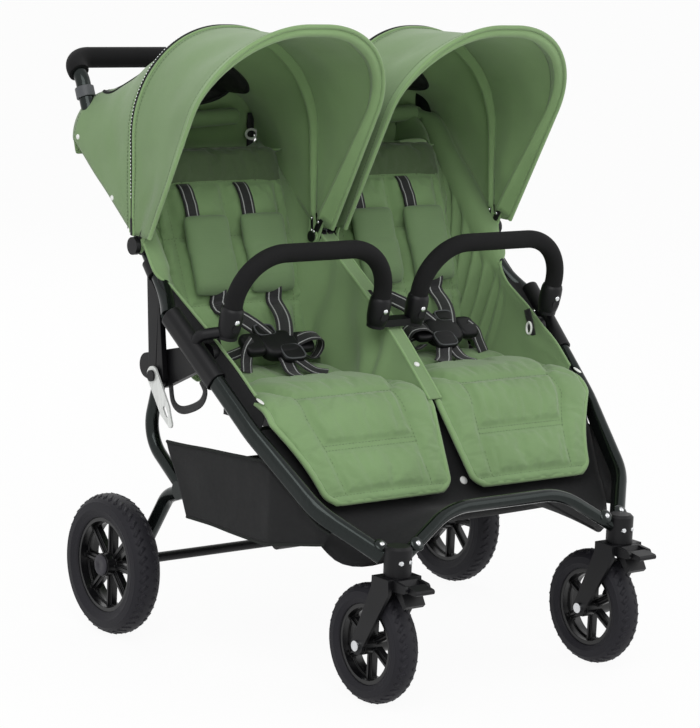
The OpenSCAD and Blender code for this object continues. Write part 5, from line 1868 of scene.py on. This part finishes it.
@dataclass
class FrameTrim:
    """Finishes of the CAD nodes that stay, and the boots, rivets and lugs on them."""

    dresser: Dresser
    bumper_x: tuple = (0.038, 0.324)
    edge: float = 0.0012
    fork_edge: float = 0.0028

    def build(self) -> None:
        """Dresses the nodes and adds the boots and rivets."""
        looks = self.dresser.looks
        finishes = {
            looks.tube: ("left_rail", "right_rail", "front_bar", "handle_tube", "back_frame", "rear_legs"),
            looks.plastic: ("caster_housings", "hinge_sleeves", "hinge_plates", "seat_base", "bumper_brackets",
                            "hinge_arms", "hood_pivots", "left_fork", "right_fork", "left_swivel_lever",
                            "right_swivel_lever", "brake_pedal", "rear_axle"),
            looks.piping: ("left_middle_bow", "right_middle_bow", "left_front_bow", "right_front_bow"),
            looks.gloss: ("left_rear_rim", "right_rear_rim", "left_front_rim", "right_front_rim"),
            looks.foam: ("handle_grip", "left_bumper_bar", "right_bumper_bar"),
            looks.steel: ("frame_rivets", "left_axle_bolt", "right_axle_bolt"),
            looks.latch: ("left_fold_latch", "right_fold_latch"),
            looks.collar: ("grip_collars",),
        }
        for finish, names in finishes.items():
            for name in names:
                self.dress(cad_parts[name], finish, self.fork_edge if name.endswith("fork") else self.edge)
        self.add_boots()
        self.add_rivets()

    @staticmethod
    def dress(node: Object, finish: Material, edge: float) -> None:
        """Gives a node its finish and soft edges, and leaves its mesh as it is."""
        node.data.materials.clear()
        node.data.materials.append(finish)
        weld = node.modifiers.new("weld", "WELD")
        weld.merge_threshold = 0.00001
        bevel = node.modifiers.new("edges", "BEVEL")
        bevel.width = edge
        bevel.segments = 2
        bevel.limit_method = "ANGLE"
        bevel.angle_limit = math.radians(38)
        bevel.harden_normals = False
        node.modifiers.new("normals", "WEIGHTED_NORMAL")

    def add_boots(self) -> None:
        """Adds the soft boots over the bumper sockets."""
        along = Vector((0, -0.2425, 0.9701))
        out = Vector((0, 0.9701, 0.2425))
        section = ((-0.034, 0.0085), (-0.032, 0.0135), (-0.022, 0.0172), (-0.004, 0.0184), (0.016, 0.0180),
                   (0.021, 0.0150))
        for side in Side:
            for x, label in zip(self.bumper_x, ("inner", "outer")):
                base = side.at(x, -0.047, 0.552)
                loops = [[base + along * s + (Vector((math.cos(a), 0, 0)) + out * math.sin(a)) * r for a in turns(32)]
                         for s, r in section]
                boot = loft_object(f"{side.word}_{label}_bumper_boot", loops, self.dresser.looks.plastic)
                subdivide(boot)
                self.dresser.ride(boot, "chassis", "black_plastic")

    def add_rivets(self) -> None:
        """Adds the rivets on the bumper sockets, and those beside the caster housings on their lugs."""
        looks = self.dresser.looks
        ahead = Vector((0, -0.97, -0.2425))
        across = Vector((1, 0, 0))
        spots = [(side.at(x, -0.0640, 0.5474), ahead, across) for side in Side for x in self.bumper_x]
        self.dresser.ride(self.dresser.studs("bumper_rivets", spots, 0.009, 0.004, looks.steel), "chassis",
                          "silver_metal")
        rail_up = Vector((0, -0.628, 0.778))
        bar_up = Vector((0, -0.82, 0.57))
        spots = []
        for side in Side:
            spots.append((side.at(0.2405, -0.3312, 0.2515), rail_up, across))
            spots.append((side.at(0.190, -0.3526, 0.2525), bar_up, across))
        lugs = self.dresser.studs("corner_lugs", spots, 0.024, 0.007, looks.tube)
        self.dresser.ride(lugs, "chassis", "frame_tube")
        spots = [(p + facing * 0.0032, facing, run) for p, facing, run in spots]
        self.dresser.ride(self.dresser.studs("corner_rivets", spots, 0.009, 0.005, looks.steel), "chassis",
                          "silver_metal")


@dataclass
class Studio:
    """Pale floor, soft light and the camera at the photograph's place."""

    eye: tuple = (-2.6644, -3.3539, 1.1937)
    yaw: float = 52.12
    pitch: float = 9.86
    roll: float = 2.39
    focal_px: float = 2699.92
    image_high_px: float = 728.0
    sensor: float = 36.0
    floor_half: float = 30.0
    ambient: float = 0.62
    glow: float = 0.94
    lamps: tuple = (("key", (-2.2, -2.6, 3.4), 3.2, 95.0), ("fill", (3.2, -2.4, 2.2), 3.0, 32.0),
                    ("back", (0.6, 3.4, 3.0), 3.0, 40.0))

    def build(self) -> None:
        """Sets the scene round the object."""
        bpy.context.scene.view_settings.view_transform = "Standard"
        self.add_camera()
        self.add_world()
        self.add_floor()
        for lamp in self.lamps:
            self.add_lamp(*lamp)

    def add_camera(self) -> None:
        """Puts the camera where the photograph was taken."""
        yaw, pitch, roll = (math.radians(v) for v in (self.yaw, self.pitch, self.roll))
        ahead = Vector((math.cos(yaw) * math.cos(pitch), math.sin(yaw) * math.cos(pitch), -math.sin(pitch)))
        right = Vector((math.sin(yaw), -math.cos(yaw), 0.0))
        up = right.cross(ahead)
        turned = right * math.cos(roll) + up * math.sin(roll)
        upright = up * math.cos(roll) - right * math.sin(roll)
        camera = bpy.data.objects.new("camera", bpy.data.cameras.new("camera"))
        camera.data.sensor_fit = "VERTICAL"
        camera.data.sensor_height = self.sensor
        camera.data.lens = self.focal_px * self.sensor / self.image_high_px
        turn = Matrix((turned, upright, -ahead)).transposed().to_4x4()
        camera.matrix_world = Matrix.Translation(self.eye) @ turn
        bpy.context.scene.collection.objects.link(camera)
        bpy.context.scene.camera = camera

    @staticmethod
    def seen(tree: NodeTree) -> Socket:
        """1 for rays that show the background itself: camera, glossy and transmission rays."""
        path = tree.add("ShaderNodeLightPath").outputs
        total = path["Is Camera Ray"]
        for name in ("Is Glossy Ray", "Is Transmission Ray"):
            total = tree.add("ShaderNodeMath", {0: total, 1: path[name]}, operation="MAXIMUM").outputs[0]
        return total

    def add_world(self) -> None:
        """A white backdrop with a plain level of light from all round."""
        world = bpy.data.worlds.new("studio")
        world.use_nodes = True
        bpy.context.scene.world = world
        tree = NodeTree(world.node_tree)
        light = tree.nodes["Background"]
        light.inputs["Strength"].default_value = self.ambient
        light.inputs["Color"].default_value = (1, 1, 1, 1)
        white = tree.add("ShaderNodeBackground", {"Color": (1, 1, 1, 1)}).outputs[0]
        both = tree.add("ShaderNodeMixShader", {0: self.seen(tree), 1: light.outputs[0], 2: white})
        tree.links.new(both.outputs[0], tree.nodes["World Output"].inputs["Surface"])

    def add_floor(self) -> None:
        """A pale floor that keeps the object's shadow."""
        h = self.floor_half
        corners = [Vector((-h, -h, 0)), Vector((h, -h, 0)), Vector((h, h, 0)), Vector((-h, h, 0))]
        graph = Graph("pale_floor")
        pale = graph.tint(graph.noise(3.0), (236, 236, 235), (240, 240, 239))
        graph.close(pale, graph.between(graph.noise(40.0), 0.85, 0.95), graph.noise(300.0), 0.0001)
        light = graph.add("ShaderNodeEmission", {"Color": (1, 1, 1, 1), "Strength": 1.0}).outputs[0]
        share = graph.math("MULTIPLY", self.seen(graph), self.glow)
        both = graph.add("ShaderNodeMixShader", {0: share, 1: graph.shader.outputs[0], 2: light}).outputs[0]
        graph.links.new(both, graph.nodes["Material Output"].inputs["Surface"])
        floor = new_object("floor", corners, [], [(0, 1, 2, 3)], graph.material)

    @staticmethod
    def add_lamp(name: str, place: tuple, size: float, power_w: float) -> None:
        """A large soft lamp aimed at the middle of the object."""
        lamp = bpy.data.lights.new(name, "AREA")
        lamp.size = size
        lamp.energy = power_w
        obj = bpy.data.objects.new(name, lamp)
        aim = Vector((0, 0, 0.5)) - Vector(place)
        obj.matrix_world = Matrix.Translation(place) @ aim.to_track_quat("-Z", "Y").to_matrix().to_4x4()
        bpy.context.scene.collection.objects.link(obj)


def main() -> None:
    """Builds every sub-assembly in order."""
    logging.basicConfig(level=logging.INFO, format="%(message)s")
    Studio().build()
    dresser = Dresser(Looks(), Rules())
    FrameTrim(dresser).build()
    for side in Side:
        Hood(side, dresser).build()
        SeatPad(side, dresser).build()
        BackPad(side, dresser).build()
        SideWall(side, dresser).build()
        LapHarness(side, dresser).build()
        Wheel(side, dresser, "rear", centre=(0.355, 0.216, 0.115), radius=0.115, wide=0.050, rim=0.077, pairs=46,
              cap=True).build()
        Wheel(side, dresser, "front", centre=(0.223, -0.300, 0.0925), radius=0.0925, wide=0.045, rim=0.0619, pairs=38,
              cap=False).build()
    CentreWall(dresser).build()
    LowerCloth(dresser).build()


if __name__ == "__main__":
    main()
